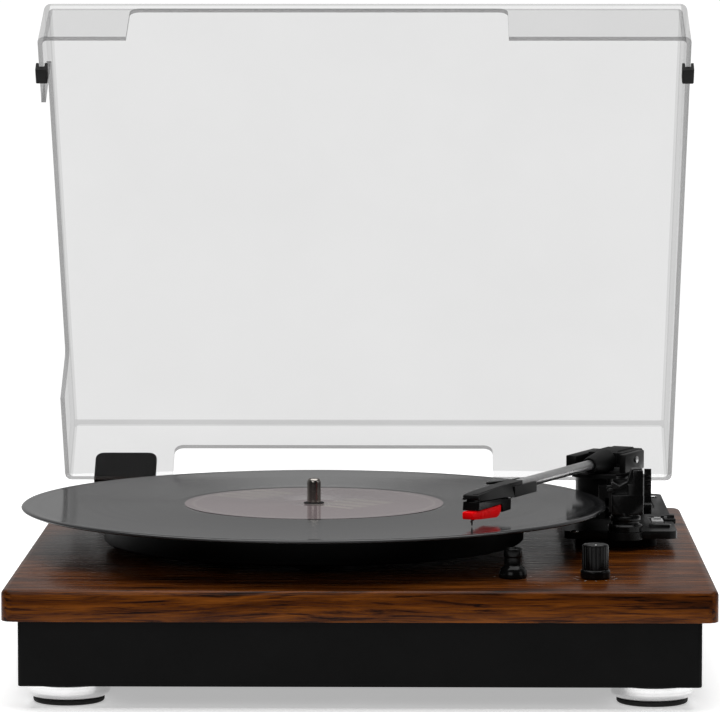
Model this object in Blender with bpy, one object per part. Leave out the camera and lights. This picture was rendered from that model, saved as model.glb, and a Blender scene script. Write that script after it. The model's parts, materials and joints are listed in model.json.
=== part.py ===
"""Belt driven turntable with a wooden top, a tonearm unit and a clear hinged lid.

Sizes below are in millimetres and the helpers turn them into metres. X runs to the right, Y to
the back and Z up from the floor. Pieces of the plinth are placed from the plinth's own centre line,
the lid from its hinge axis while closed, and the tonearm from its pivot, pointing along +X.
"""
import math

import bmesh
import bpy
from mathutils import Matrix, Vector

MM = 0.001
GAP = 0.3                                   # clearance left between touching pieces

# plinth
PLINTH_SHIFT = (1.9, -12.2)                 # moves the plinth so the whole object is centred
BOARD_W, BOARD_D, BOARD_T = 345.0, 332.0, 15.3
BOARD_CORNER, BOARD_EDGE = 6.0, 2.4
BASE_OVERHANG, BASE_WALL = 8.0, 9.0
BASE_BOTTOM, BOARD_BOTTOM = 10.7, 43.3
TOP = BOARD_BOTTOM + BOARD_T                # upper face of the wooden board
BASE_TOP = BOARD_BOTTOM - GAP
BASE_W, BASE_D = BOARD_W - 2 * BASE_OVERHANG + 1.0, BOARD_D - 2 * BASE_OVERHANG
COVER_T = 3.0
FOOT_R, FOOT_X, FOOT_Y = 20.2, 142.2, 133.3
PAD_R, PAD_T = 17.6, 2.4

# platter, record and drive
SPINDLE = (-25.8, -4.8)
SPINDLE_R = 3.55
RECORD_R, RECORD_T, RECORD_TOP = 150.5, 1.9, TOP + 23.0
MAT_R, MAT_T = 104.0, 2.6
PLATTER_R, PLATTER_RISE, PLATTER_DISC = 108.0, 4.5, 3.0
RIM_WALL, BELT_RIM_R, BELT_RIM_WALL = 4.0, 66.0, 3.0
PULLEY_R, PULLEY_REACH, PULLEY_ANGLE = 6.0, 84.0, 128.0
BELT_T, BELT_H = 0.7, 4.0
MOTOR_R, MOTOR_H = 17.0, 20.0

# tonearm: pivot on the plinth, and distances from the pivot along the arm
PIVOT = (129.9, 66.3)
ARM_TURN = 245.7                            # direction of the arm at rest, from +X
ARM_AXIS = TOP + 37.7                       # height of the tube's centre
TILT_AXIS = TOP + 38.5
TUBE_R = 2.7
PEDESTAL_R = 18.5
PLATE_LOW, PLATE_HIGH = TOP + 5.5, TOP + 9.5
REST = (134.2, -12.0)                       # centre of the arm rest's round base
CLIP = (126.2, -20.6, TOP + 31.2)
CUE_REACH, CUE_SHAFT_RISE = 25.0, 15.0
LEVER_X = 148.4

# controls
SELECTOR = (74.5, -119.0)
VOLUME = (114.8, -120.0)

# lid, measured closed from its hinge axis
HINGE_Y, HINGE_Z = 165.0, TOP + 7.5
LID_OPEN = 57.3
LID_W, LID_L, LID_H, LID_WALL = 334.8, 293.0, 45.5, 2.4
LID_REAR = -12.3                            # free edge of the rear wall
LID_LOW = TOP + 4.2 - HINGE_Z               # free edge, level with the axis frame
LID_FRONT_DRAFT, LID_REAR_DRAFT = 10.4, 4.9
LID_EDGE = 3.0
HINGE_X, LEAF_W, LEAF_H, LEAF_T = 134.7, 34.0, 22.0, 2.2
KNUCKLE_W, BARREL_R, PIN_R = 15.0, 3.2, 1.2


# ---------------------------------------------------------------- materials and placing

def paint(name, colour, roughness, metallic=0.0, alpha=1.0):
    """One Principled material."""
    material = bpy.data.materials.get(name)
    if material is None:
        material = bpy.data.materials.new(name)
        material.use_nodes = True
        shader = material.node_tree.nodes["Principled BSDF"]
        shader.inputs["Base Color"].default_value = (*colour, 1.0)
        shader.inputs["Roughness"].default_value = roughness
        shader.inputs["Metallic"].default_value = metallic
        shader.inputs["Alpha"].default_value = alpha
    return material


WALNUT = ((0.16, 0.060, 0.022), 0.32)
BLACK_PLASTIC = ((0.016, 0.016, 0.017), 0.42)
BLACK_BASE = ((0.022, 0.022, 0.023), 0.55)
CHROME = ((0.80, 0.80, 0.80), 0.08, 1.0)
STEEL = ((0.55, 0.55, 0.56), 0.28, 1.0)
RUBBER = ((0.012, 0.012, 0.012), 0.80)
BRASS = ((0.70, 0.52, 0.22), 0.30, 1.0)
ALUMINIUM = ((0.62, 0.62, 0.63), 0.35, 1.0)
PLATTER_BLACK = ((0.02, 0.02, 0.02), 0.5)
CLEAR = ((0.93, 0.94, 0.95), 0.05, 0.0, 0.25)


def holder(name, place, parent=None, rotation=(0.0, 0.0, 0.0)):
    """An empty on a joint axis, or at the origin of a group of pieces."""
    empty = bpy.data.objects.new(name, None)
    empty.location = Vector(place) * MM
    empty.rotation_euler = [math.radians(angle) for angle in rotation]
    empty.parent = parent
    bpy.context.scene.collection.objects.link(empty)
    return empty


def add(name, shape, look, parent, origin=(0.0, 0.0, 0.0), flat_angle=35.0):
    """Turn a bmesh in millimetres into a named object that hangs on an empty."""
    bmesh.ops.recalc_face_normals(shape, faces=shape.faces)
    bmesh.ops.transform(shape, matrix=Matrix.Scale(MM, 4) @ Matrix.Translation(-Vector(origin)),
                        verts=shape.verts)
    mesh = bpy.data.meshes.new(name)
    shape.to_mesh(mesh)
    shape.free()
    mesh.materials.append(paint(name + "_finish", *look))
    mesh.shade_smooth()
    mesh.set_sharp_from_angle(angle=math.radians(flat_angle))
    item = bpy.data.objects.new(name, mesh)
    bpy.context.scene.collection.objects.link(item)
    item.parent = parent
    return item


def combine(target, shape, operation="DIFFERENCE"):
    """Cut or join a bmesh, in the target's own frame, with a Boolean modifier."""
    bmesh.ops.recalc_face_normals(shape, faces=shape.faces)
    bmesh.ops.scale(shape, vec=(MM, MM, MM), verts=shape.verts)
    label = target.name + "_tool_" + str(len(target.modifiers))
    mesh = bpy.data.meshes.new(label)
    shape.to_mesh(mesh)
    shape.free()
    tool = bpy.data.objects.new(label, mesh)
    bpy.context.scene.collection.objects.link(tool)
    tool.parent = target
    tool.hide_render = True
    tool.display_type = "WIRE"
    step = target.modifiers.new(label, "BOOLEAN")
    step.operation = operation
    step.solver = "EXACT"
    step.object = tool
    return target


# ---------------------------------------------------------------- shapes

def arc(centre, radius, start, end, steps):
    """Points on an arc, angles in degrees."""
    angles = [math.radians(start + (end - start) * i / steps) for i in range(steps + 1)]
    return [(centre[0] + radius * math.cos(a), centre[1] + radius * math.sin(a)) for a in angles]


def rounded(x0, x1, y0, y1, radius, steps=4):
    """A rectangle with round corners."""
    corners = [(x1 - radius, y1 - radius, 0), (x0 + radius, y1 - radius, 90),
               (x0 + radius, y0 + radius, 180), (x1 - radius, y0 + radius, 270)]
    points = []
    for x, y, start in corners:
        points += arc((x, y), radius, start, start + 90, steps)
    return points


def prism(outline, low, high, matrix=None):
    """Extrude a flat outline along Z, then place it with a matrix."""
    shape = bmesh.new()
    face = shape.faces.new([shape.verts.new((x, y, low)) for x, y in outline])
    grown = bmesh.ops.extrude_face_region(shape, geom=[face])
    moved = [part for part in grown["geom"] if isinstance(part, bmesh.types.BMVert)]
    bmesh.ops.translate(shape, verts=moved, vec=(0, 0, high - low))
    if matrix:
        bmesh.ops.transform(shape, matrix=matrix, verts=shape.verts)
    return shape


def block(x0, x1, y0, y1, z0, z1, bevel=0.0, matrix=None):
    """A box, with its edges bevelled if asked."""
    shape = prism([(x0, y0), (x1, y0), (x1, y1), (x0, y1)], z0, z1)
    if bevel:
        bmesh.ops.bevel(shape, geom=shape.edges[:], offset=bevel, segments=2, profile=0.5,
                        affect="EDGES", clamp_overlap=True)
    if matrix:
        bmesh.ops.transform(shape, matrix=matrix, verts=shape.verts)
    return shape


def turned(profile, centre=(0.0, 0.0), steps=48, ring=False, matrix=None):
    """Spin a profile of (radius, height) points about Z. A ring profile is a closed loop."""
    shape = bmesh.new()
    line = [shape.verts.new((radius, 0.0, height)) for radius, height in profile]
    edges = [shape.edges.new(pair) for pair in zip(line, line[1:])]
    if ring:
        edges.append(shape.edges.new((line[-1], line[0])))
    bmesh.ops.spin(shape, geom=line + edges, cent=(0, 0, 0), axis=(0, 0, 1),
                   angle=math.tau, steps=steps, use_merge=True)
    bmesh.ops.remove_doubles(shape, verts=shape.verts, dist=0.001)
    bmesh.ops.translate(shape, verts=shape.verts, vec=(centre[0], centre[1], 0))
    if matrix:
        bmesh.ops.transform(shape, matrix=matrix, verts=shape.verts)
    return shape


def rod(radius, low, high, centre=(0.0, 0.0), steps=24, matrix=None, chamfer=0.0):
    """A solid round bar along Z with chamfered ends."""
    profile = [(0, low), (radius - chamfer, low), (radius, low + chamfer),
               (radius, high - chamfer), (radius - chamfer, high), (0, high)]
    if not chamfer:
        profile = [(0, low), (radius, low), (radius, high), (0, high)]
    return turned(profile, centre, steps, matrix=matrix)


def tube(outer, inner, low, high, centre=(0.0, 0.0), steps=48, matrix=None):
    """A round tube along Z."""
    profile = [(inner, low), (outer, low), (outer, high), (inner, high)]
    return turned(profile, centre, steps, ring=True, matrix=matrix)


def loft(sections):
    """Join closed sections, lists of points with the same count, into one solid."""
    shape = bmesh.new()
    rings = [[shape.verts.new(point) for point in section] for section in sections]
    for near, far in zip(rings, rings[1:]):
        for i in range(len(near)):
            j = (i + 1) % len(near)
            shape.faces.new((near[i], near[j], far[j], far[i]))
    shape.faces.new(rings[0])
    shape.faces.new(rings[-1])
    return shape


def along_x(x, y, z):
    """Turn a piece made along Z so that it lies along X and starts at a place."""
    return Matrix.Translation((x, y, z)) @ Matrix.Rotation(math.pi / 2, 4, "Y")


def along_y(x, y, z):
    """Turn a piece made along Z so that it lies along Y and starts at a place."""
    return Matrix.Translation((x, y, z)) @ Matrix.Rotation(-math.pi / 2, 4, "X")


def side_profile(x, y=0.0, z=0.0):
    """Outline drawn as (Y, Z) and extruded along X from x."""
    return Matrix.Translation((x, y, z)) @ Matrix(((0, 0, 1, 0), (1, 0, 0, 0), (0, 1, 0, 0),
                                                   (0, 0, 0, 1)))


def front_profile(y):
    """Outline drawn as (X, Z) and extruded along +Y from y."""
    return Matrix.Translation((0, y, 0)) @ Matrix(((1, 0, 0, 0), (0, 0, 1, 0), (0, 1, 0, 0),
                                                   (0, 0, 0, 1)))


def polar(centre, radius, degrees):
    angle = math.radians(degrees)
    return (centre[0] + radius * math.cos(angle), centre[1] + radius * math.sin(angle))


# ---------------------------------------------------------------- plinth

def make_plinth(plinth):
    half_w, half_d = BOARD_W / 2, BOARD_D / 2
    board = prism(rounded(-half_w, half_w, -half_d, half_d, BOARD_CORNER), BOARD_BOTTOM, TOP)
    rim = [edge for edge in board.edges if all(v.co.z > TOP - 0.01 for v in edge.verts)]
    bmesh.ops.bevel(board, geom=rim, offset=BOARD_EDGE, segments=3, profile=0.5, affect="EDGES")
    board = add("top_board", board, WALNUT, plinth)
    pulley = polar(SPINDLE, PULLEY_REACH, PULLEY_ANGLE)
    holes = [(SPINDLE, 8.3), (pulley, 9.0), (PIVOT, 6.0), (SELECTOR, 4.0), (VOLUME, 4.0)]
    for place, radius in holes:
        combine(board, rod(radius, BOARD_BOTTOM - 1, TOP + 1, place, 24))

    half_w, half_d = BASE_W / 2, BASE_D / 2
    base = prism(rounded(-half_w, half_w, -half_d, half_d, 2.0, 3), BASE_BOTTOM, BASE_TOP)
    base = add("base_frame", base, BLACK_BASE, plinth)
    inner_w, inner_d = half_w - BASE_WALL, half_d - BASE_WALL
    combine(base, block(-inner_w, inner_w, -inner_d, inner_d, BASE_BOTTOM - 1, BASE_TOP + 1))
    combine(base, block(30, 130, inner_d - 1, half_d + 1, 17.0, 37.0))

    panel = block(-inner_w + GAP, inner_w - GAP, -inner_d + GAP, inner_d - GAP,
                  BASE_BOTTOM, BASE_BOTTOM + COVER_T)
    panel = add("bottom_cover", panel, BLACK_BASE, plinth)
    for i in range(7):
        x = -60.0 + 20.0 * i
        combine(panel, block(x - 1.5, x + 1.5, -45, 45, BASE_BOTTOM - 1, BASE_BOTTOM + COVER_T + 1))

    make_feet(plinth)
    make_rear_panel(plinth, half_d, inner_d)


def make_feet(plinth):
    foot_top = BASE_BOTTOM - GAP
    recess = PAD_T + GAP
    profile = [(0, recess), (PAD_R + 0.4, recess), (PAD_R + 1.2, recess), (FOOT_R, recess + 2.2),
               (FOOT_R, foot_top - 0.5), (FOOT_R - 0.5, foot_top), (0, foot_top)]
    pad_profile = [(0, 0), (PAD_R - 0.6, 0), (PAD_R, 0.6), (PAD_R, PAD_T), (0, PAD_T)]
    for depth, side_y in (("front", -1), ("rear", 1)):
        for width, side_x in (("left", -1), ("right", 1)):
            place = (side_x * FOOT_X, side_y * FOOT_Y)
            add("foot_" + depth + "_" + width, turned(profile, place, 40), CHROME, plinth)
            add("foot_pad_" + depth + "_" + width, turned(pad_profile, place, 32), RUBBER, plinth)


def make_rear_panel(plinth, half_d, inner_d):
    """Sockets at the back: a recessed panel, two phono sockets in one block and the DC inlet."""
    face = inner_d + 2.0
    panel = block(30 + GAP, 130 - GAP, face, face + 2.0, 17.0 + GAP, 37.0 - GAP)
    panel = add("jack_panel", panel, BLACK_PLASTIC, plinth)
    combine(panel, block(39, 71, face - 1, face + 3, 20, 34))
    combine(panel, rod(4.2, -1, 4, steps=24, matrix=along_y(110, face, 27)))
    sockets = block(39 + GAP, 71 - GAP, face - 9, face + 2.5, 20 + GAP, 34 - GAP, 0.5)
    sockets = add("phono_sockets", sockets, BLACK_PLASTIC, plinth)
    for x in (47.5, 62.5):
        combine(sockets, rod(4.0, 0, 7, steps=24, matrix=along_y(x, face + 1.5, 27)), "UNION")
        combine(sockets, rod(1.6, 3, 9, steps=16, matrix=along_y(x, face + 1.5, 27)))
    inlet = [(0, -9), (5.4, -9), (5.4, -GAP), (3.9, -GAP), (3.9, 4.0), (2.8, 4.0), (2.8, -6.0),
             (1.0, -6.0), (1.0, 2.5), (0, 2.5)]
    add("dc_inlet", turned(inlet, steps=24, matrix=along_y(110, face, 27)), BLACK_PLASTIC, plinth)


# ---------------------------------------------------------------- platter and drive

def make_drive(plinth):
    mat_top = RECORD_TOP - RECORD_T - GAP
    platter_top = mat_top - MAT_T - GAP
    under = platter_top - PLATTER_DISC
    skirt = TOP + PLATTER_RISE
    spin = holder("platter_axis", (*SPINDLE, 0), plinth)

    flange = [(SPINDLE_R + GAP, BOARD_BOTTOM - 7), (12, BOARD_BOTTOM - 7), (22, BOARD_BOTTOM - 3),
              (22, BOARD_BOTTOM - GAP), (8, BOARD_BOTTOM - GAP), (8, TOP + 1.5),
              (SPINDLE_R + GAP, TOP + 1.5)]
    add("spindle_flange", turned(flange, SPINDLE, 32, ring=True), STEEL, plinth)
    tip = RECORD_TOP + 13.0
    dome = [(SPINDLE_R * math.cos(a), tip - 2.6 + 2.6 * math.sin(a))
            for a in [math.radians(18 * i) for i in range(6)]]
    shaft = [(0, BOARD_BOTTOM - 9), (SPINDLE_R, BOARD_BOTTOM - 9), *dome[:-1], (0, tip)]
    spindle = turned(shaft, SPINDLE, 24)
    add("spindle", spindle, STEEL, plinth)

    hub = [(SPINDLE_R + 0.35, under - 8), (7.5, under - 8), (7.5, platter_top),
           (SPINDLE_R + 0.35, platter_top)]
    add("platter_bush", turned(hub, steps=32, ring=True), BRASS, spin)
    disc = [(7.8, under), (BELT_RIM_R - BELT_RIM_WALL, under), (BELT_RIM_R - BELT_RIM_WALL, under - 8.5),
            (BELT_RIM_R, under - 8.5), (BELT_RIM_R, under), (PLATTER_R - RIM_WALL, under),
            (PLATTER_R - RIM_WALL, skirt), (PLATTER_R - 1, skirt), (PLATTER_R, skirt + 1),
            (PLATTER_R, platter_top - 1), (PLATTER_R - 1, platter_top), (7.8, platter_top)]
    add("platter", turned(disc, steps=60, ring=True), PLATTER_BLACK, spin)
    pad = [(4.2, platter_top + GAP), (MAT_R, platter_top + GAP), (MAT_R, mat_top - 0.6),
           (MAT_R - 0.6, mat_top), (4.2, mat_top)]
    add("platter_mat", turned(pad, steps=60, ring=True), RUBBER, spin)
    low = mat_top + GAP
    disc = [(SPINDLE_R + 0.3, low), (RECORD_R - 1.0, low), (RECORD_R, low + RECORD_T / 2),
            (RECORD_R - 1.0, RECORD_TOP), (SPINDLE_R + 0.3, RECORD_TOP)]
    add("record", turned(disc, steps=84, ring=True), ((0.02, 0.02, 0.021), 0.25), spin)

    place = polar(SPINDLE, PULLEY_REACH, PULLEY_ANGLE)
    belt_low = under - 7.0
    pulley_axis = holder("pulley_axis", (*place, 0), plinth)
    wheel = [(0, BOARD_BOTTOM - 4), (1.2, BOARD_BOTTOM - 4), (1.2, TOP - 5), (PULLEY_R, TOP - 5),
             (PULLEY_R, belt_low - 1.2), (PULLEY_R + 1.2, belt_low - 0.8), (PULLEY_R + 1.2, belt_low - 0.5),
             (PULLEY_R, belt_low - 0.3), (PULLEY_R, belt_low + BELT_H + 1), (0, belt_low + BELT_H + 1)]
    add("motor_pulley", turned(wheel, steps=24), BRASS, pulley_axis)
    make_belt(plinth, place, belt_low)

    motor_top = BOARD_BOTTOM - 5.0
    can = [(0, motor_top - MOTOR_H), (MOTOR_R - 1, motor_top - MOTOR_H), (MOTOR_R, motor_top - MOTOR_H + 1),
           (MOTOR_R, motor_top - 1), (MOTOR_R - 1, motor_top), (1.8, motor_top), (1.8, motor_top - 3),
           (0, motor_top - 3)]
    add("motor", turned(can, place, 36), STEEL, plinth)
    bridge = prism(rounded(place[0] - 26, place[0] + 26, place[1] - 14, place[1] + 14, 5), 0, 1.6,
                   Matrix.Translation((0, 0, motor_top + GAP)))
    bridge = add("motor_bracket", bridge, STEEL, plinth)
    combine(bridge, rod(4.5, motor_top - 2, motor_top + 4, place, 24))
    for side in (-1, 1):
        post = rod(3.5, motor_top + 1, BOARD_BOTTOM - GAP, (place[0] + side * 21, place[1]), 16)
        combine(bridge, post, "UNION")


def make_belt(plinth, place, low):
    """A flat belt around the platter's inner rim and the pulley."""
    outer_rim, outer_pulley = BELT_RIM_R + GAP + BELT_T, PULLEY_R + GAP + BELT_T
    spread = math.degrees(math.acos((BELT_RIM_R - PULLEY_R) / PULLEY_REACH))

    def loop(rim, small):
        around = arc(SPINDLE, rim, PULLEY_ANGLE + spread, PULLEY_ANGLE + 360 - spread, 40)
        back = arc(place, small, PULLEY_ANGLE - spread, PULLEY_ANGLE + spread, 10)
        return around + back

    belt = prism(loop(outer_rim, outer_pulley), low, low + BELT_H)
    belt = add("drive_belt", belt, RUBBER, plinth)
    hole = prism(loop(outer_rim - BELT_T, outer_pulley - BELT_T), low - 1, low + BELT_H + 1)
    combine(belt, hole)


# ---------------------------------------------------------------- controls

def make_controls(plinth):
    collar = TOP + GAP
    axis = holder("selector_axis", (*SELECTOR, 0), plinth)
    bell = [(0, collar + 1), (2.6, collar + 1), (2.6, collar), (6.4, collar), (6.9, collar + 0.6),
            (6.7, collar + 1.4), (5.6, collar + 2.8), (4.7, collar + 4.4), (4.4, collar + 5.4),
            (4.3, collar + 13.6), (3.7, collar + 14.3), (0, collar + 14.5)]
    knob = add("selector_knob", turned(bell, steps=28), BLACK_PLASTIC, axis)
    combine(knob, block(-0.5, 0.5, -4.4, -2.0, collar + 9.5, collar + 15))

    axis_volume = holder("volume_axis", (*VOLUME, 0), plinth)
    ribs = 20
    outline = []
    for i in range(ribs):
        turn = 360.0 * i / ribs
        outline += [polar((0, 0), 6.45, turn - 4.5), polar((0, 0), 6.45, turn + 4.5),
                    polar((0, 0), 6.1, turn + 7.5)]
    knob = add("volume_knob", prism(outline, collar + 4.0, collar + 15.6), BLACK_PLASTIC, axis_volume)
    skirt = [(0, collar + 1), (2.6, collar + 1), (2.6, collar), (7.1, collar), (7.3, collar + 0.4),
             (7.3, collar + 3.9), (6.8, collar + 4.5), (0, collar + 4.5)]
    combine(knob, turned(skirt, steps=36), "UNION")
    crown = [(0, collar + 15.2), (6.0, collar + 15.2), (5.7, collar + 16.3), (4.8, collar + 16.8),
             (0, collar + 17.0)]
    combine(knob, turned(crown, steps=28), "UNION")

    for label, place, holder_axis, body_r in (("selector", SELECTOR, axis, 9.0),
                                              ("volume", VOLUME, axis_volume, 8.0)):
        shaft = rod(2.9, BOARD_BOTTOM - 6, collar - GAP, steps=20)
        shaft = add(label + "_shaft", shaft, STEEL, holder_axis)
        combine(shaft, rod(2.2, TOP - 1, collar + 0.7, steps=20), "UNION")
        body = [(3.2, BOARD_BOTTOM - 10), (body_r, BOARD_BOTTOM - 10), (body_r, BOARD_BOTTOM - GAP),
                (3.2, BOARD_BOTTOM - GAP)]
        add(label + "_control", turned(body, place, 32, ring=True), STEEL, plinth)

    board = add("main_board", block(45, 150, -146, -88, 28, 29.6), ((0.02, 0.10, 0.04), 0.5), plinth)
    for x, y in ((50, -141), (145, -141), (50, -93), (145, -93)):
        post = rod(2.5, BASE_BOTTOM + COVER_T + GAP, 28.5, (x, y), 12)
        combine(board, post, "UNION")
    for x, y, w, d, h in ((80, -100, 14, 14, 3), (130, -105, 9, 9, 10), (66, -128, 7, 18, 3)):
        combine(board, block(x - w / 2, x + w / 2, y - d / 2, y + d / 2, 29, 29.6 + h), "UNION")


# ---------------------------------------------------------------- tonearm unit

def make_arm_base(plinth):
    """The moulded plate with its rest tower, cue guide and pedestal."""
    outline = rounded(103, 161, -13, 149.4, 4.0)
    plate = add("arm_plate", prism(outline, PLATE_LOW, PLATE_HIGH), BLACK_PLASTIC, plinth)
    combine(plate, prism(rounded(109, 151, -3, 142, 5.0), TOP + GAP, PLATE_LOW + 1), "UNION")
    combine(plate, rod(9.1, PLATE_LOW, PLATE_HIGH, REST, 32), "UNION")
    combine(plate, block(147.5, 158, 2, 9, PLATE_LOW + 1, PLATE_HIGH + 1.4), "UNION")
    combine(plate, rod(3.2, TOP - 1, PLATE_HIGH + 1, PIVOT, 24))
    combine(plate, block(149.5, 156.5, 20, 48, PLATE_HIGH - 2.2, PLATE_HIGH + 1))
    combine(plate, block(156.0, 162.0, 27, 51, PLATE_HIGH - 2.2, PLATE_HIGH + 1))
    combine(plate, block(151.5, 154.5, 86, 140, PLATE_HIGH - 1.2, PLATE_HIGH + 1))
    make_cue_guide(plate)

    pedestal = [(2.8, PLATE_HIGH + GAP), (PEDESTAL_R, PLATE_HIGH + GAP), (PEDESTAL_R, TOP + 29.2),
                (PEDESTAL_R - 1.5, TOP + 30.7), (2.8, TOP + 30.7)]
    add("pivot_pedestal", turned(pedestal, PIVOT, 36, ring=True), BLACK_PLASTIC, plinth)
    make_rest(plinth)


def cue_post_place():
    return polar(PIVOT, CUE_REACH, 270.0 - 3.0)


def make_cue_guide(plate):
    """A small tower moulded on the plate, with a bore for the post and a window for the cam."""
    x, y = cue_post_place()
    tower = block(x - 6, x + 6, y - 4.3, y + 4.3, PLATE_HIGH - 1, TOP + 27)
    combine(plate, tower, "UNION")
    combine(plate, block(x - 2.7, x + 2.7, y - 6, y + 6, PLATE_HIGH, TOP + 20.5))
    combine(plate, rod(1.9, TOP + 19, TOP + 29, (x, y), 20))
    combine(plate, rod(1.7, -8, 8, steps=20, matrix=along_x(x, y, TOP + CUE_SHAFT_RISE)))


def make_rest(plinth):
    """The tower that holds the parked arm: round foot, turned rings, V plate and side column."""
    x, y = REST
    foot = [(0, PLATE_HIGH + GAP), (8.9, PLATE_HIGH + GAP), (8.9, TOP + 12.6), (8.2, TOP + 13.4),
            (7.2, TOP + 13.6), (7.2, TOP + 15.0), (7.9, TOP + 15.4), (7.9, TOP + 17.2),
            (7.2, TOP + 17.6), (7.2, TOP + 19.5), (0, TOP + 19.5)]
    tower = add("arm_rest", turned(foot, REST, 30), BLACK_PLASTIC, plinth)
    lower = block(x - 7.2, x + 9.0, y - 7.0, y + 7.0, TOP + 18.6, TOP + 28.7, 0.4)
    combine(tower, lower, "UNION")
    wall = [(x - 7.0, TOP + 27), (x + 8.8, TOP + 27), (x + 8.8, TOP + 41.0), (x + 8.2, TOP + 41.7),
            (x + 4.4, TOP + 41.7), (x + 3.2, TOP + 41.2), (x + 1.0, TOP + 34.8),
            (x - 2.9, TOP + 32.6), (x - 6.2, TOP + 34.5), (x - 7.0, TOP + 34.3)]
    combine(tower, prism(wall, y - 1.0, y + 6.6, front_profile(0)), "UNION")
    column = block(x + 1.2, x + 8.8, y - 6.8, y + 0.0, TOP + 27, TOP + 34.2, 0.3)
    combine(tower, column, "UNION")
    column = block(x + 4.0, x + 8.8, y - 6.8, y + 0.0, TOP + 33, TOP + 41.4, 0.3)
    combine(tower, column, "UNION")
    lug = block(x - 9.4, x - 5.0, y - 1.0, y + 2.0, TOP + 29.4, TOP + 33.0, 0.3)
    combine(tower, lug, "UNION")
    pin = rod(0.7, -0.8, y - CLIP[1] + 0.5, steps=12, matrix=along_y(*CLIP))
    combine(tower, pin, "UNION")

    axis = holder("clip_axis", CLIP, plinth)
    clip = tube(1.5, 1.0, -0.6, 0.9, steps=20, matrix=along_y(0, 0, 0))
    clip = add("arm_clip", clip, BLACK_PLASTIC, axis)
    combine(clip, block(-0.7, 0.7, -0.6, 0.9, -11.0, -1.2), "UNION")


def make_cue(plinth):
    """Lever with its cam shaft, and the curved bar that lifts the arm."""
    x, y = cue_post_place()
    shaft_z = TOP + CUE_SHAFT_RISE
    axis = holder("cue_axis", (LEVER_X, y, shaft_z), plinth)
    reach = LEVER_X - x
    shaft = rod(1.4, -reach - 5.5, -1.0, steps=20, matrix=along_x(0, 0, 0))
    lever = add("cue_lever", shaft, BLACK_PLASTIC, axis)
    cam = rod(2.2, -reach - 2.0, -reach + 2.0, steps=24, matrix=along_x(0, 1.0, 0))
    combine(lever, cam, "UNION")
    combine(lever, rod(3.4, -1.9, 1.9, steps=24, matrix=along_x(0, 0, 0)), "UNION")
    outline = [(-2.0, 0.0), (2.0, 0.0), (2.4, 8.0), (1.4, 17.5), (0.6, 20.6), (-0.9, 20.6),
               (-1.6, 17.5), (-1.7, 8.0)]
    combine(lever, prism(outline, -1.8, 1.8, side_profile(0)), "UNION")
    for rise in (11.5, 13.5, 15.5, 17.5):
        combine(lever, block(-1.6, 1.6, -2.2, -0.8, rise - 0.45, rise + 0.45), "UNION")

    lift = holder("cue_lift_axis", (x, y, shaft_z), plinth)
    post = rod(1.55, 2.55, 16.4, steps=20)
    bar = add("cue_bar", post, BLACK_PLASTIC, lift)
    centre = (PIVOT[0] - x, PIVOT[1] - y)
    band = arc(centre, CUE_REACH + 2, 274, 219, 14) + arc(centre, CUE_REACH - 2, 219, 274, 14)
    combine(bar, prism(band, 15.45, 17.45), "UNION")


def along(distance):
    """Distance from the pivot of a place given as its distance behind the stylus tip."""
    return 183.0 - distance


def make_yoke(swing):
    """The part that swings: shaft, yoke and the two pins that the arm tilts on."""
    add("pivot_shaft", rod(2.5, BOARD_BOTTOM - 8, TOP + 30.7, steps=24), STEEL, swing)
    yoke = add("arm_yoke", rod(14.6, TOP + 31.0, TOP + 33.2, steps=32), BLACK_PLASTIC, swing)
    combine(yoke, block(-10, 12, -14.4, -10.9, TOP + 32.6, TOP + 35.5), "UNION")
    far_wall = block(-17, 21, -17.0, -10.9, TOP + 34.6, TOP + 41.3, 0.6)
    combine(yoke, far_wall, "UNION")
    near_wall = block(-12, 15, 10.9, 14.5, TOP + 32.6, TOP + 42.3, 0.5)
    combine(yoke, near_wall, "UNION")
    combine(yoke, rod(6.9, 7.0, 22.0, steps=32, matrix=along_x(0, 0, ARM_AXIS)))
    for name, side in (("pivot_pin_far", -1), ("pivot_pin_near", 1)):
        start = 10.0 if side > 0 else -18.5
        hole = rod(1.3, start, start + 8.5, steps=20, matrix=along_y(0, 0, TILT_AXIS))
        combine(yoke, hole)
        outer = 14.8 if side > 0 else 17.3
        profile = [(0, 8.0), (1.0, 8.0), (1.0, outer), (1.8, outer), (1.8, outer + 0.4), (0, outer + 0.6)]
        matrix = along_y(0, 0, TILT_AXIS) @ Matrix.Rotation(0 if side > 0 else math.pi, 4, "X")
        add(name, turned(profile, steps=20, matrix=matrix), STEEL, swing)


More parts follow.
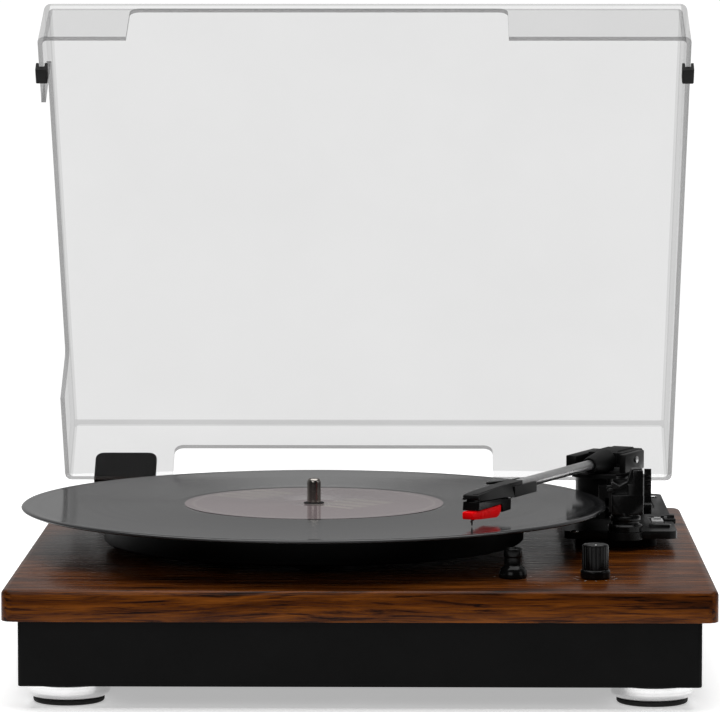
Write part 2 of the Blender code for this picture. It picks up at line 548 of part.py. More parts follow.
def make_arm(tilt):
    """Everything that tilts: block, counterweight, collar, tube, headshell, cartridge, stylus."""
    rise = TILT_AXIS                        # pieces below are drawn around the tilt axis
    low, high = TOP + 34.6 - rise, TOP + 42.2 - rise
    cover = [(7.5, low), (7.5, high), (-20.5, high), (-23, high - 1.5), (-23, low + 2.8), (-6, low)]
    body = prism(cover, -9.6, 9.6, front_profile(0))
    body = add("arm_block", body, BLACK_PLASTIC, tilt)
    combine(body, block(-21.4, -4.4, -8.0, 8.0, low - 2, high - 1.6))
    combine(body, rod(1.3, -11, 11, steps=20, matrix=along_y(0, 0, 0)))
    ridge = [(5.0, high - 1), (3.0, high + 0.7), (-19.0, high + 0.7), (-20.5, high - 1)]
    combine(body, prism(ridge, -5.5, 5.5, front_profile(0)), "UNION")
    weight = [(-4.8, low + 1.3), (-4.8, high - 2.0), (-21.0, high - 2.0), (-21.0, low + 3.2)]
    add("counterweight", prism(weight, -7.6, 7.6, front_profile(0)), STEEL, tilt)

    centre = ARM_AXIS - rise
    cone = [(TUBE_R + GAP, 30.0), (3.9, 30.0), (4.3, 28.5), (6.4, 9.5), (6.4, 7.9), (TUBE_R + GAP, 7.9)]
    cone = turned(cone, steps=32, ring=True, matrix=along_x(0, 0, centre))
    add("arm_collar", cone, BLACK_PLASTIC, tilt)
    pipe = tube(TUBE_R, TUBE_R - 0.6, 12.0, along(56), steps=24, matrix=along_x(0, 0, centre))
    add("arm_tube", pipe, ALUMINIUM, tilt)
    make_headshell(tilt, rise)
    make_cartridge(tilt, rise)


def make_headshell(tilt, rise):
    """A tapered shell, open below, with a cradle for the tube behind it."""
    def section(x, top_half, low_half, top, bottom):
        skin, roof = 1.1, 1.5
        top, bottom = TOP + top - rise, TOP + bottom - rise
        return [(x, -low_half, bottom), (x, -top_half, top), (x, top_half, top), (x, low_half, bottom),
                (x, low_half - skin, bottom), (x, top_half - 0.4, top - roof),
                (x, -top_half + 0.4, top - roof), (x, -low_half + skin, bottom)]

    stations = [(along(-1.3), 3.8, 4.6, 38.4, 36.4), (along(0.2), 4.2, 5.1, 38.8, 35.9),
                (along(9), 4.2, 5.7, 39.3, 35.5), (along(27), 3.5, 5.9, 39.9, 34.9),
                (along(41), 3.2, 5.6, 40.4, 33.4)]
    shell = add("headshell", loft([section(*station) for station in stations]), BLACK_PLASTIC, tilt)
    nose = block(along(5), along(-1.2), -4.4, 4.4, TOP + 36.5 - rise, TOP + 38.4 - rise, 0.3)
    combine(shell, nose, "UNION")
    centre = ARM_AXIS - rise
    floor, top = TOP + 32.9 - rise, TOP + 38.3 - rise
    cradle = prism([(-4.7, floor), (4.7, floor), (4.7, top), (3.2, top), (3.2, centre),
                    *[(3.2 * math.cos(math.radians(-15 * i)), centre + 3.2 * math.sin(math.radians(-15 * i)))
                      for i in range(1, 12)],
                    (-3.2, centre), (-3.2, top), (-4.7, top)], along(71), along(43),
                   Matrix(((0, 0, 1, 0), (1, 0, 0, 0), (0, 1, 0, 0), (0, 0, 0, 1))))
    combine(shell, cradle, "UNION")
    bulkhead = block(along(55.5), along(40), -3.6, 3.6, TOP + 34.0 - rise, TOP + 40.3 - rise, 0.3)
    combine(shell, bulkhead, "UNION")

    plan = [(along(69), -3.5), (along(69), -4.7), (along(57), -5.8), (along(48), -10.9), (along(44), -11.6),
            (along(43), -9.8), (along(48), -8.0), (along(55), -4.4), (along(58), -3.5)]
    lift = prism(plan, TOP + 38.6 - rise, TOP + 39.8 - rise)
    add("finger_lift", lift, BLACK_PLASTIC, tilt)


def make_cartridge(tilt, rise):
    body = [(along(-0.9), 35.2), (along(-1.6), 31.0), (along(27.6), 31.3), (along(28.3), 27.2),
            (along(38.6), 27.4), (along(39), 33.0), (along(24), 34.3), (along(5), 35.1)]
    body = [(x, TOP + z - rise) for x, z in body]
    cartridge = add("cartridge", prism(body, -4.4, 4.4, front_profile(0)), BLACK_PLASTIC, tilt)
    shoulder = block(along(38), along(0.5), -3.2, 3.2, TOP + 33 - rise, TOP + 36.1 - rise)
    combine(cartridge, shoulder, "UNION")
    root = block(along(30), along(8), -2.3, 2.3, TOP + 35 - rise, TOP + 37.5 - rise)
    combine(cartridge, root, "UNION")
    sled = []
    for distance, half, top, bottom in ((-5.2, 2.9, 30.4, 28.0), (-4.4, 3.1, 30.6, 26.9),
                                        (4, 4.0, 30.7, 26.3), (22, 4.0, 30.9, 25.2),
                                        (25, 4.0, 31.0, 26.0), (27.2, 4.0, 31.0, 28.0)):
        low, high, x = TOP + bottom - rise, TOP + top - rise, along(distance)
        sled.append([(x, -half, low), (x, half, low), (x, half, high), (x, -half, high)])
    stylus = add("stylus", loft(sled), ((0.65, 0.012, 0.015), 0.3), tilt)
    tip_low = RECORD_TOP + GAP - rise
    point = [(0, tip_low), (0.15, tip_low), (0.5, tip_low + 1.4), (0.8, TOP + 28.0 - rise),
             (0, TOP + 28.0 - rise)]
    combine(stylus, turned(point, (along(0), 0), 12), "UNION")


def make_tonearm(plinth):
    make_arm_base(plinth)
    make_cue(plinth)
    swing = holder("swing_axis", (*PIVOT, 0), plinth, (0, 0, ARM_TURN))
    make_yoke(swing)
    tilt = holder("tilt_axis", (0, 0, TILT_AXIS), swing)
    make_arm(tilt)

    stop = holder("stop_axis", (153, 31, PLATE_HIGH), plinth)
    cap = block(-3.0, 3.0, -6.0, 6.0, -1.8, 0.6, 0.3)
    combine(add("stop_switch", cap, ((0.55, 0.55, 0.55), 0.5), stop),
            block(-1.8, 1.8, -1.5, 1.5, 0.2, 1.8), "UNION")
    speed = holder("speed_axis", (159.5, 37, PLATE_HIGH), plinth)
    cap = block(-2.8, 3.2, -5.0, 5.0, -1.8, 0.8, 0.3)
    combine(add("speed_switch", cap, BLACK_PLASTIC, speed),
            block(-1.2, 2.6, -2.0, 2.0, 0.2, 2.4), "UNION")


# ---------------------------------------------------------------- lid and hinges

def lid_shell(inset, drop):
    """The lid's outer or inner solid, as a drafted box around the hinge frame."""
    front = LID_REAR - LID_L
    slope_front = math.tan(math.radians(LID_FRONT_DRAFT))
    slope_rear = math.tan(math.radians(LID_REAR_DRAFT))
    low, high = -drop, LID_H - inset
    half = LID_W / 2 - inset
    shape = bmesh.new()
    rings = []
    for height in (low, high):
        y0 = front + inset / math.cos(math.radians(LID_FRONT_DRAFT)) + slope_front * height
        y1 = LID_REAR - inset / math.cos(math.radians(LID_REAR_DRAFT)) - slope_rear * height
        rings.append([shape.verts.new((x, y, LID_LOW + height))
                      for x, y in ((-half, y0), (half, y0), (half, y1), (-half, y1))])
    for i in range(4):
        j = (i + 1) % 4
        shape.faces.new((rings[0][i], rings[0][j], rings[1][j], rings[1][i]))
    shape.faces.new(rings[0])
    shape.faces.new(rings[1])
    bmesh.ops.recalc_face_normals(shape, faces=shape.faces)
    edges = [e for e in shape.edges if not all(v in rings[0] for v in e.verts)]
    bmesh.ops.bevel(shape, geom=edges, offset=LID_EDGE + 0.6 - inset * 0.5, segments=3, profile=0.5,
                    affect="EDGES")
    return shape


def make_lid(plinth):
    lid_axis = holder("lid_axis", (0, HINGE_Y, HINGE_Z), plinth, (-LID_OPEN, 0, 0))
    lid = add("lid", lid_shell(0.0, 0.0), CLEAR, lid_axis)
    combine(lid, lid_shell(LID_WALL, 2.0))
    front, rear = LID_REAR - LID_L, LID_REAR
    below = LID_LOW - 2
    notch = rounded(-122, 74, below - 8, LID_LOW + 36.5, 5.0, 3)
    combine(lid, prism(notch, front - 5, front + 18, front_profile(0)))
    notch = rounded(-108, 69, below - 8, LID_LOW + 25.0, 5.0, 3)
    combine(lid, prism(notch, rear - 18, rear + 5, front_profile(0)))
    notch = rounded(front + 40.7, front + 235.7, below - 8, LID_LOW + 41.0, 4.0, 3)
    combine(lid, prism(notch, -LID_W / 2 - 5, -LID_W / 2 + 12, side_profile(0)))

    leg, drop = 1.5, 3.9
    outer = LID_W / 2 + GAP + leg
    inner = LID_W / 2 - LID_WALL - GAP - leg
    clip = [(inner, LID_LOW - drop + 0.5), (inner + 0.5, LID_LOW - drop), (outer - 0.5, LID_LOW - drop),
            (outer, LID_LOW - drop + 0.5), (outer, LID_LOW + 3), (outer - leg, LID_LOW + 3),
            (outer - leg, LID_LOW - GAP), (inner + leg, LID_LOW - GAP), (inner + leg, LID_LOW + 3),
            (inner, LID_LOW + 3)]
    for name, side in (("bumper_left", -1), ("bumper_right", 1)):
        outline = [(side * x, z) for x, z in clip]
        shape = prism(outline, front + 18.0, front + 26.5, front_profile(0))
        add(name, shape, RUBBER, lid_axis)

    for name, side in (("left", -1), ("right", 1)):
        make_hinge(plinth, lid_axis, name, side * HINGE_X)


def make_hinge(plinth, lid_axis, name, x):
    slope = math.tan(math.radians(LID_REAR_DRAFT))
    face = LID_REAR + GAP + 0.1

    def behind(height, out=0.0):
        return (face + out - slope * (height - LID_LOW), height)

    low, high = LID_LOW + 0.6, LID_LOW + LEAF_H
    plate = [behind(low), behind(high), behind(high, LEAF_T), behind(low, LEAF_T)]
    leaf = prism(plate, x - LEAF_W / 2, x + LEAF_W / 2, side_profile(0))
    uprights = [e for e in leaf.edges
                if all(v.co.z > high - 0.1 for v in e.verts) and abs(e.verts[0].co.x - e.verts[1].co.x) < 0.01]
    bmesh.ops.bevel(leaf, geom=uprights, offset=4.5, segments=4, profile=0.5, affect="EDGES")
    leaf = add("hinge_leaf_" + name, leaf, BLACK_PLASTIC, lid_axis)
    half = KNUCKLE_W / 2
    arm = [behind(low + 0.2, 0.3), behind(low + 9, 0.3), behind(low + 9, LEAF_T + 0.4), (-1.0, BARREL_R - 0.3),
           (0.0, -BARREL_R + 0.3), (-6.0, low + 0.2)]
    combine(leaf, prism(arm, x - half, x + half, side_profile(0)), "UNION")
    combine(leaf, rod(BARREL_R, x - half, x + half, steps=24, matrix=along_x(0, 0, 0)), "UNION")
    combine(leaf, rod(PIN_R + 0.3, x - half - 2, x + half + 2, steps=20, matrix=along_x(0, 0, 0)))

    back = BOARD_D / 2 + GAP
    foot_low, foot_high = BOARD_BOTTOM + 1.0, TOP - 1.5
    base = block(x - LEAF_W / 2, x + LEAF_W / 2, back, back + 2.6, foot_low, foot_high, 0.4)
    base = add("hinge_base_" + name, base, BLACK_PLASTIC, plinth)
    lug = [(back + 0.3, foot_low + 3), (back + 3.5, foot_low + 3), (HINGE_Y + BARREL_R - 0.2, TOP - 3),
           (HINGE_Y + BARREL_R - 0.2, HINGE_Z), (HINGE_Y - 2.6, HINGE_Z), (back + 0.3, TOP + 2)]
    for side in (-1, 1):
        start = x + side * (half + 0.4) if side > 0 else x - LEAF_W / 2 + 0.5
        end = x + LEAF_W / 2 - 0.5 if side > 0 else x - half - 0.4
        combine(base, prism(lug, start, end, side_profile(0)), "UNION")
        barrel = rod(BARREL_R, start, end, steps=24, matrix=along_x(0, HINGE_Y, HINGE_Z))
        combine(base, barrel, "UNION")
    bore = rod(PIN_R + 0.3, x - 30, x + 30, steps=20, matrix=along_x(0, HINGE_Y, HINGE_Z))
    combine(base, bore)
    pin = rod(PIN_R, x - LEAF_W / 2 - 0.4, x + LEAF_W / 2 + 0.4, steps=20, chamfer=0.3,
              matrix=along_x(0, HINGE_Y, HINGE_Z))
    add("hinge_pin_" + name, pin, STEEL, plinth)


def main():
    for item in list(bpy.data.objects):
        bpy.data.objects.remove(item, do_unlink=True)
    plinth = holder("plinth_frame", (*PLINTH_SHIFT, 0))
    make_plinth(plinth)
    make_drive(plinth)
    make_controls(plinth)
    make_tonearm(plinth)
    make_lid(plinth)


main()
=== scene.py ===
"""Looks for the turntable: detailed pieces, materials, studio light and the camera."""

import json
import math

import bmesh
import bpy
from mathutils import Matrix, Vector

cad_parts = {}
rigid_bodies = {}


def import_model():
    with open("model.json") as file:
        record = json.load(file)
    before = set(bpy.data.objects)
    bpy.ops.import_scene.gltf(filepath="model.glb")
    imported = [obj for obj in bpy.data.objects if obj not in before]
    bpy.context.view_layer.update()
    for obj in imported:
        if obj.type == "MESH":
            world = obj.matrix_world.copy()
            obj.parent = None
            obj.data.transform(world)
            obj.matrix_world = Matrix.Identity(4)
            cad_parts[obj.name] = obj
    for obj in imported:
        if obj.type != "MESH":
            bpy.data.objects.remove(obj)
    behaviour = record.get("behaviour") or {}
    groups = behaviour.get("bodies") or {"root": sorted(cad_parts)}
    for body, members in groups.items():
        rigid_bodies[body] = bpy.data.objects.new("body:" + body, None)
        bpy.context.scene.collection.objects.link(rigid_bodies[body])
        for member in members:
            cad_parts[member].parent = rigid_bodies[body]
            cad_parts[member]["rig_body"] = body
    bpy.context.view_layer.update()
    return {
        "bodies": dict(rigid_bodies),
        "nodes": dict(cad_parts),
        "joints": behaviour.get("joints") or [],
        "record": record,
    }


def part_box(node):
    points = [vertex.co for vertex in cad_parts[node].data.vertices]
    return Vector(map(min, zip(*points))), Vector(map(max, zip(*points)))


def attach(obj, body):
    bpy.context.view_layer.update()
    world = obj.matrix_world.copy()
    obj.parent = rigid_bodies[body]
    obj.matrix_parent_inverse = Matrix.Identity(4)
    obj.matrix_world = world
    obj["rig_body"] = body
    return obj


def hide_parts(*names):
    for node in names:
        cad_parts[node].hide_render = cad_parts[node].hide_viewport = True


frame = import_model()
nodes = frame["nodes"]
scene = bpy.context.scene

MM = 0.001
ARM_TURN = 245.7
LID_OPEN = 57.3
LID_WALL = 2.4
LID_CORNER = 3.6
HOLE_RADIUS = 3.85
LABEL_RADIUS = 66.7
MAT_RADIUS = 104
FLOOR_RADIUS = 0.85
FLOOR_GLOW = 0.42
SKY_SEEN = 1.05
SKY_LIGHT = 0.9
CAMERA_PLACE = (0.03367, -2.24432, 0.35318)
CAMERA_TILT = 0.0876
CAMERA_TURN = 0.0152
CAMERA_LENS = 217.5


def middle(name):
    low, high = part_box(name)
    return (low + high) / 2


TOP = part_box("top_board")[1].z / MM
SPINDLE = middle("spindle") / MM
PIVOT = middle("pivot_pedestal") / MM
HINGE = middle("hinge_pin_left") / MM
RECORD_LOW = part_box("record")[0].z / MM
RECORD_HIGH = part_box("record")[1].z / MM
ARM = Matrix.Translation((PIVOT.x, PIVOT.y, 0)) @ Matrix.Rotation(math.radians(ARM_TURN), 4, "Z")
LID = (Matrix.Translation((middle("lid").x / MM, HINGE.y, HINGE.z))
       @ Matrix.Rotation(math.radians(-LID_OPEN), 4, "X"))


# ---------------------------------------------------------------- materials

class Look:
    """A Principled material with a few helpers for building its nodes."""

    def __init__(self, name, colour=(0.5, 0.5, 0.5), roughness=0.5, metallic=0.0, specular=0.5):
        self.material = bpy.data.materials.new(name)
        self.material.use_nodes = True
        tree = self.material.node_tree
        self.nodes, self.links = tree.nodes, tree.links
        self.shader = self.nodes["Principled BSDF"]
        self.set("Base Color", (*colour, 1.0))
        self.set("Roughness", roughness)
        self.set("Metallic", metallic)
        self.set("Specular IOR Level", specular)
        self.space = None

    def set(self, socket, value):
        self.shader.inputs[socket].default_value = value

    def link(self, source, target):
        self.links.new(source, target)
        return source

    def place(self):
        if self.space is None:
            self.space = self.nodes.new("ShaderNodeTexCoord").outputs["Object"]
        return self.space

    def mapped(self, scale, shift=(0, 0, 0), turn=(0, 0, 0), source=None):
        node = self.nodes.new("ShaderNodeMapping")
        node.inputs["Scale"].default_value = scale
        node.inputs["Location"].default_value = shift
        node.inputs["Rotation"].default_value = turn
        self.link(source or self.place(), node.inputs["Vector"])
        return node.outputs["Vector"]

    def noise(self, vector, scale=1.0, detail=4.0, roughness=0.55, distortion=0.0):
        node = self.nodes.new("ShaderNodeTexNoise")
        node.inputs["Scale"].default_value = scale
        node.inputs["Detail"].default_value = detail
        node.inputs["Roughness"].default_value = roughness
        node.inputs["Distortion"].default_value = distortion
        self.link(vector, node.inputs["Vector"])
        return node.outputs["Fac"]

    def ramp(self, value, stops):
        node = self.nodes.new("ShaderNodeValToRGB")
        ramp = node.color_ramp
        while len(ramp.elements) < len(stops):
            ramp.elements.new(0.5)
        for element, (position, colour) in zip(ramp.elements, stops):
            element.position = position
            element.color = (*colour, 1.0)
        self.link(value, node.inputs["Fac"])
        return node.outputs["Color"]

    def remap(self, value, low, high, out_low, out_high):
        node = self.nodes.new("ShaderNodeMapRange")
        for socket, number in zip(("From Min", "From Max", "To Min", "To Max"),
                                  (low, high, out_low, out_high)):
            node.inputs[socket].default_value = number
        self.link(value, node.inputs["Value"])
        return node.outputs["Result"]

    def math(self, operation, first, second=None):
        node = self.nodes.new("ShaderNodeMath")
        node.operation = operation
        for index, value in enumerate((first, second)):
            if value is None:
                continue
            if isinstance(value, (int, float)):
                node.inputs[index].default_value = value
            else:
                self.link(value, node.inputs[index])
        return node.outputs["Value"]

    def mix(self, factor, first, second, mode="MIX"):
        node = self.nodes.new("ShaderNodeMix")
        node.data_type = "RGBA"
        node.blend_type = mode
        for index, value in ((0, factor), (6, first), (7, second)):
            socket = node.inputs[index]
            if isinstance(value, (int, float)):
                socket.default_value = value
            elif isinstance(value, tuple):
                socket.default_value = (*value, 1.0)
            else:
                self.link(value, socket)
        return node.outputs[2]

    def bump(self, height, distance, strength=1.0):
        node = self.nodes.new("ShaderNodeBump")
        node.inputs["Strength"].default_value = strength
        node.inputs["Distance"].default_value = distance
        self.link(height, node.inputs["Height"])
        previous = self.shader.inputs["Normal"].links
        if previous:
            self.link(previous[0].from_socket, node.inputs["Normal"])
        self.link(node.outputs["Normal"], self.shader.inputs["Normal"])

    def colour(self, source):
        self.link(source, self.shader.inputs["Base Color"])

    def rough(self, source):
        self.link(source, self.shader.inputs["Roughness"])


def moulded(name, shade=0.012, roughness=0.38, grain=1100.0, relief=0.00003, specular=0.5, tint=(1, 1, 1),
            glow=0.0):
    """Injection moulded plastic: fine spark texture, faint mottling and handling marks.

    The glow is painted light: an emission that stands for the light that a translucent plastic gathers.
    """
    look = Look(name, roughness=roughness, specular=specular)
    fine = look.noise(look.mapped((1, 1, 1)), grain, 3.0, 0.6)
    broad = look.noise(look.mapped((1, 1, 1), (0.3, 0.1, 0.7)), 34.0, 4.0, 0.6)
    dark = tuple(shade * 0.75 * c for c in tint)
    pale = tuple(shade * 1.35 * c for c in tint)
    look.colour(look.ramp(broad, [(0.3, dark), (0.72, pale)]))
    look.rough(look.remap(broad, 0.3, 0.75, roughness - 0.05, roughness + 0.07))
    look.bump(fine, relief, 0.35)
    # painted glow: a faint emission in the plastic's own tint, standing in for light gathered through it
    if glow:
        look.set("Emission Color", (*tint, 1.0))
        look.set("Emission Strength", glow)
    return look.material


def metal(name, shade, roughness, streak=(8, 8, 900), tint=(1, 1, 1), relief=0.00002):
    """Metal with fine machining streaks along one direction."""
    look = Look(name, roughness=roughness, metallic=1.0)
    lines = look.noise(look.mapped(streak), 1.0, 5.0, 0.65)
    blotch = look.noise(look.mapped((1, 1, 1)), 60.0, 3.0)
    dark = tuple(shade * 0.88 * c for c in tint)
    pale = tuple(min(1.0, shade * 1.06) * c for c in tint)
    look.colour(look.ramp(lines, [(0.3, dark), (0.7, pale)]))
    look.rough(look.remap(blotch, 0.3, 0.7, roughness * 0.8, roughness * 1.25))
    look.bump(lines, relief, 0.25)
    return look.material


def walnut():
    """Walnut laminate, grain along X, under satin lacquer."""
    look = Look("walnut_lacquer", roughness=0.26, specular=0.09)
    warp = look.noise(look.mapped((5, 24, 24)), 1.0, 3.0, 0.5)
    shifted = look.nodes.new("ShaderNodeVectorMath")
    shifted.operation = "MULTIPLY_ADD"
    look.link(look.place(), shifted.inputs[0])
    shifted.inputs[1].default_value = (1, 1, 1)
    spread = look.nodes.new("ShaderNodeCombineXYZ")
    wander = look.math("MULTIPLY", warp, 0.010)
    look.link(wander, spread.inputs["Y"])
    look.link(wander, spread.inputs["Z"])
    look.link(spread.outputs["Vector"], shifted.inputs[2])
    space = shifted.outputs["Vector"]
    figure = look.noise(look.mapped((5.5, 70, 95), source=space), 1.0, 6.0, 0.6, 0.5)
    streak = look.noise(look.mapped((26, 420, 560), (4, 1, 2), source=space), 1.0, 6.0, 0.68, 0.7)
    pores = look.noise(look.mapped((60, 1500, 1800), (1, 5, 3), source=space), 1.0, 3.0, 0.6)
    body = look.ramp(figure, [(0.28, (0.030, 0.0070, 0.0010)), (0.45, (0.090, 0.0235, 0.0026)),
                              (0.60, (0.165, 0.0480, 0.0055)), (0.78, (0.105, 0.0275, 0.0032))])
    dark = look.ramp(streak, [(0.38, (0.05, 0.04, 0.04)), (0.46, (0.50, 0.44, 0.40)),
                              (0.58, (1.0, 1.0, 1.0)), (0.76, (1.30, 1.24, 1.1))])
    pits = look.ramp(pores, [(0.30, (0.45, 0.42, 0.40)), (0.46, (1.0, 1.0, 1.0))])
    look.colour(look.mix(0.8, look.mix(1.0, body, dark, "MULTIPLY"), pits, "MULTIPLY"))
    look.rough(look.remap(streak, 0.3, 0.7, 0.33, 0.22))
    look.bump(streak, 0.00004, 0.4)
    look.set("Coat Weight", 0.05)
    look.set("Coat Roughness", 0.12)
    return look.material


def radius_from(look, centre):
    """Distance from a vertical axis, in millimetres."""
    split = look.nodes.new("ShaderNodeSeparateXYZ")
    look.link(look.mapped((1, 1, 1), (-centre.x * MM, -centre.y * MM, 0)), split.inputs["Vector"])
    across = look.math("POWER", split.outputs["X"], 2.0)
    along = look.math("POWER", split.outputs["Y"], 2.0)
    return look.math("MULTIPLY", look.math("SQRT", look.math("ADD", across, along)), 1000.0)


def rings(look, radius, scale, detail=3.0, seed=0.0):
    """Noise that changes only with the distance from the axis."""
    line = look.nodes.new("ShaderNodeCombineXYZ")
    look.link(look.math("MULTIPLY", radius, scale), line.inputs["X"])
    line.inputs["Y"].default_value = seed
    return look.noise(line.outputs["Vector"], 1.0, detail, 0.6)


def vinyl():
    look = Look("record_vinyl", (0.010, 0.010, 0.0105), 0.12, specular=0.4)
    radius = radius_from(look, SPINDLE)
    band = rings(look, radius, 0.16, 4.0)
    fine = rings(look, radius, 2.2, 4.0, 7.0)
    shade = look.ramp(band, [(0.35, (0.006, 0.006, 0.0065)), (0.65, (0.020, 0.020, 0.021))])
    look.colour(shade)
    broad = look.remap(band, 0.3, 0.7, 0.04, 0.13)
    look.rough(look.math("ADD", broad, look.remap(fine, 0.3, 0.7, -0.02, 0.03)))
    look.bump(fine, 0.00003, 0.35)
    look.set("Anisotropic", 0.55)
    tangent = look.nodes.new("ShaderNodeTangent")
    tangent.direction_type = "RADIAL"
    tangent.axis = "Z"
    look.link(tangent.outputs["Tangent"], look.shader.inputs["Tangent"])
    return look.material


def label_paper():
    """Plain printed label: muted ground, pale slanted bars and thin rings."""
    look = Look("label_paper", roughness=0.11, specular=0.6)
    radius = radius_from(look, SPINDLE)
    slant = look.mapped((1, 1, 1), (-SPINDLE.x * MM, -SPINDLE.y * MM, 0), (0, 0, math.radians(38)))
    split = look.nodes.new("ShaderNodeSeparateXYZ")
    look.link(slant, split.inputs["Vector"])
    wave = look.math("SINE", look.math("MULTIPLY", split.outputs["Y"], 620.0))
    bars = look.remap(wave, -0.5, -0.3, 0.0, 1.0)
    reach = look.math("ABSOLUTE", split.outputs["X"])
    for edge, end in ((0.0185, 0.0190), (0.0465, 0.0460)):
        bars = look.math("MULTIPLY", bars, look.remap(reach, edge, end, 0.0, 1.0))
    across = look.remap(look.math("ABSOLUTE", split.outputs["Y"]), 0.0195, 0.0190, 0.0, 1.0)
    bars = look.math("MULTIPLY", bars, across)
    fibre = look.noise(look.mapped((1, 1, 1)), 700.0, 3.0)
    ground = look.ramp(fibre, [(0.3, (0.20, 0.160, 0.165)), (0.7, (0.25, 0.205, 0.21))])
    printed = look.mix(look.math("MULTIPLY", bars, 0.6), ground, (0.34, 0.31, 0.27))
    ring = look.math("LESS_THAN", look.math("ABSOLUTE", look.math("SUBTRACT", radius, 62.0)), 0.45)
    look.colour(look.mix(look.math("MULTIPLY", ring, 0.7), printed, (0.36, 0.32, 0.30)))
    look.bump(fibre, 0.00002, 0.4)
    return look.material


def acrylic(name, cover, grazing, silhouette, roughness, shade):
    """Clear sheet: mostly see-through face on, and greyer where it is seen edge on."""
    look = Look(name, (shade, shade, shade * 1.01), roughness, specular=0.12)
    weight = look.nodes.new("ShaderNodeLayerWeight")
    weight.inputs["Blend"].default_value = 0.35
    haze = look.noise(look.mapped((1, 1, 1)), 9.0, 5.0, 0.7)
    stops = ((0.2, cover), (0.45, grazing), (0.84, grazing), (0.95, silhouette))
    edge = look.ramp(weight.outputs["Facing"], [(place, (value,) * 3) for place, value in stops])
    uneven = look.remap(haze, 0.3, 0.7, 0.95, 1.05)
    look.link(look.math("MULTIPLY", edge, uneven), look.shader.inputs["Alpha"])
    look.rough(look.remap(haze, 0.35, 0.7, roughness, roughness + 0.05))
    return look.material


BLACK = moulded("black_plastic", 0.0055, 0.34, specular=0.15)
BLACK_GLOSS = moulded("black_plastic_gloss", 0.0035, 0.2, 700.0, 0.00001, 0.16)
BLACK_MATT = moulded("black_plastic_matt", 0.0060, 0.48, 900.0, 0.00005, 0.12)
BASE_WRAP = moulded("base_vinyl_wrap", 0.0040, 0.5, 620.0, 0.00008, 0.06)
HINGE_PAINT = moulded("hinge_paint", 0.0040, 0.5, 900.0, 0.00004, 0.05)
RUBBER = moulded("black_rubber", 0.010, 0.78, 800.0, 0.00006, 0.3)
GREY_CAP = moulded("grey_switch_cap", 0.36, 0.45, 900.0, 0.00002)
BOARD_GREEN = moulded("circuit_board", 0.05, 0.4, 500.0, 0.00002, tint=(0.3, 1.5, 0.6))
# painted glow: the red stylus guard emits a faint red light that stands for the light its translucent
# plastic gathers
RED = moulded("stylus_red", 0.73, 0.28, 600.0, 0.00001, 0.06, tint=(1.0, 0.003, 0.006), glow=0.15)
PRINT = moulded("pale_print", 0.55, 0.5, 900.0, 0.00001)
WIRE_PALE = moulded("wire_pale", 0.45, 0.5, 900.0, 0.00001)
CHROME = metal("foot_chrome", 0.76, 0.2, (6, 6, 700))
STEEL = metal("turned_steel", 0.46, 0.24, (7, 7, 1200))
NEEDLE = metal("needle_metal", 0.10, 0.35, (90, 90, 1600))
SPINDLE_METAL = metal("spindle_metal", 0.30, 0.2, (40, 40, 1600), (1.0, 0.93, 0.86))
BRASS = metal("turned_brass", 0.75, 0.28, (7, 7, 1200), (1.0, 0.78, 0.36))
TUBE = metal("arm_tube_satin", 0.62, 0.34, (260, 260, 260))
PLATTER = moulded("platter_paint", 0.0035, 0.45, 800.0, 0.00003, 0.06)
WALNUT = walnut()
VINYL = vinyl()
LABEL = label_paper()
CLEAR = acrylic("lid_clear", 0.140, 0.25, 0.6, 0.05, 0.02)
CLEAR_BEND = acrylic("lid_clear_bend", 0.26, 0.30, 0.85, 0.12, 0.02)
CLEAR_FRONT = acrylic("lid_clear_front", 0.060, 0.07, 0.6, 0.05, 0.02)
CLEAR_EDGE = acrylic("lid_cut_edge", 0.60, 0.65, 0.8, 0.22, 0.12)


# ---------------------------------------------------------------- mesh helpers

def wrap(name, shape, looks, body, replaced=(), matrix=None, flat=35.0):
    """Make a bmesh in millimetres into a piece that rides on a body."""
    bmesh.ops.recalc_face_normals(shape, faces=shape.faces)
    full = Matrix.Scale(MM, 4) @ (matrix or Matrix.Identity(4))
    bmesh.ops.transform(shape, matrix=full, verts=shape.verts)
    mesh = bpy.data.meshes.new(name)
    shape.to_mesh(mesh)
    shape.free()
    for look in looks if isinstance(looks, (list, tuple)) else [looks]:
        mesh.materials.append(look)
    mesh.shade_smooth()
    mesh.set_sharp_from_angle(angle=math.radians(flat))
    item = bpy.data.objects.new(name, mesh)
    scene.collection.objects.link(item)
    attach(item, body)
    if replaced:
        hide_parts(*replaced)
    return item


def arc(centre, radius, start, end, steps):
    angles = [math.radians(start + (end - start) * i / steps) for i in range(steps + 1)]
    return [(centre[0] + radius * math.cos(a), centre[1] + radius * math.sin(a)) for a in angles]


def rounded(x0, x1, y0, y1, radius, steps=5):
    corners = [(x1 - radius, y1 - radius, 0), (x0 + radius, y1 - radius, 90),
               (x0 + radius, y0 + radius, 180), (x1 - radius, y0 + radius, 270)]
    points = []
    for x, y, start in corners:
        points += arc((x, y), radius, start, start + 90, steps)
    return points


def prism(outline, low, high, bevel=0.0, matrix=None):
    """Extrude an outline along Z with softened edges."""
    shape = bmesh.new()
    face = shape.faces.new([shape.verts.new((x, y, low)) for x, y in outline])
    grown = bmesh.ops.extrude_face_region(shape, geom=[face])
    moved = [part for part in grown["geom"] if isinstance(part, bmesh.types.BMVert)]
    bmesh.ops.translate(shape, verts=moved, vec=(0, 0, high - low))
    bmesh.ops.recalc_face_normals(shape, faces=shape.faces)
    if bevel:
        edges = [e for e in shape.edges if e.calc_face_angle(0.0) > math.radians(25)]
        bmesh.ops.bevel(shape, geom=edges, offset=bevel, segments=2, profile=0.6, affect="EDGES",
                        clamp_overlap=True)
    if matrix:
        bmesh.ops.transform(shape, matrix=matrix, verts=shape.verts)
    return shape


def block(x0, x1, y0, y1, z0, z1, bevel=0.25, matrix=None):
    return prism([(x0, y0), (x1, y0), (x1, y1), (x0, y1)], z0, z1, bevel, matrix)


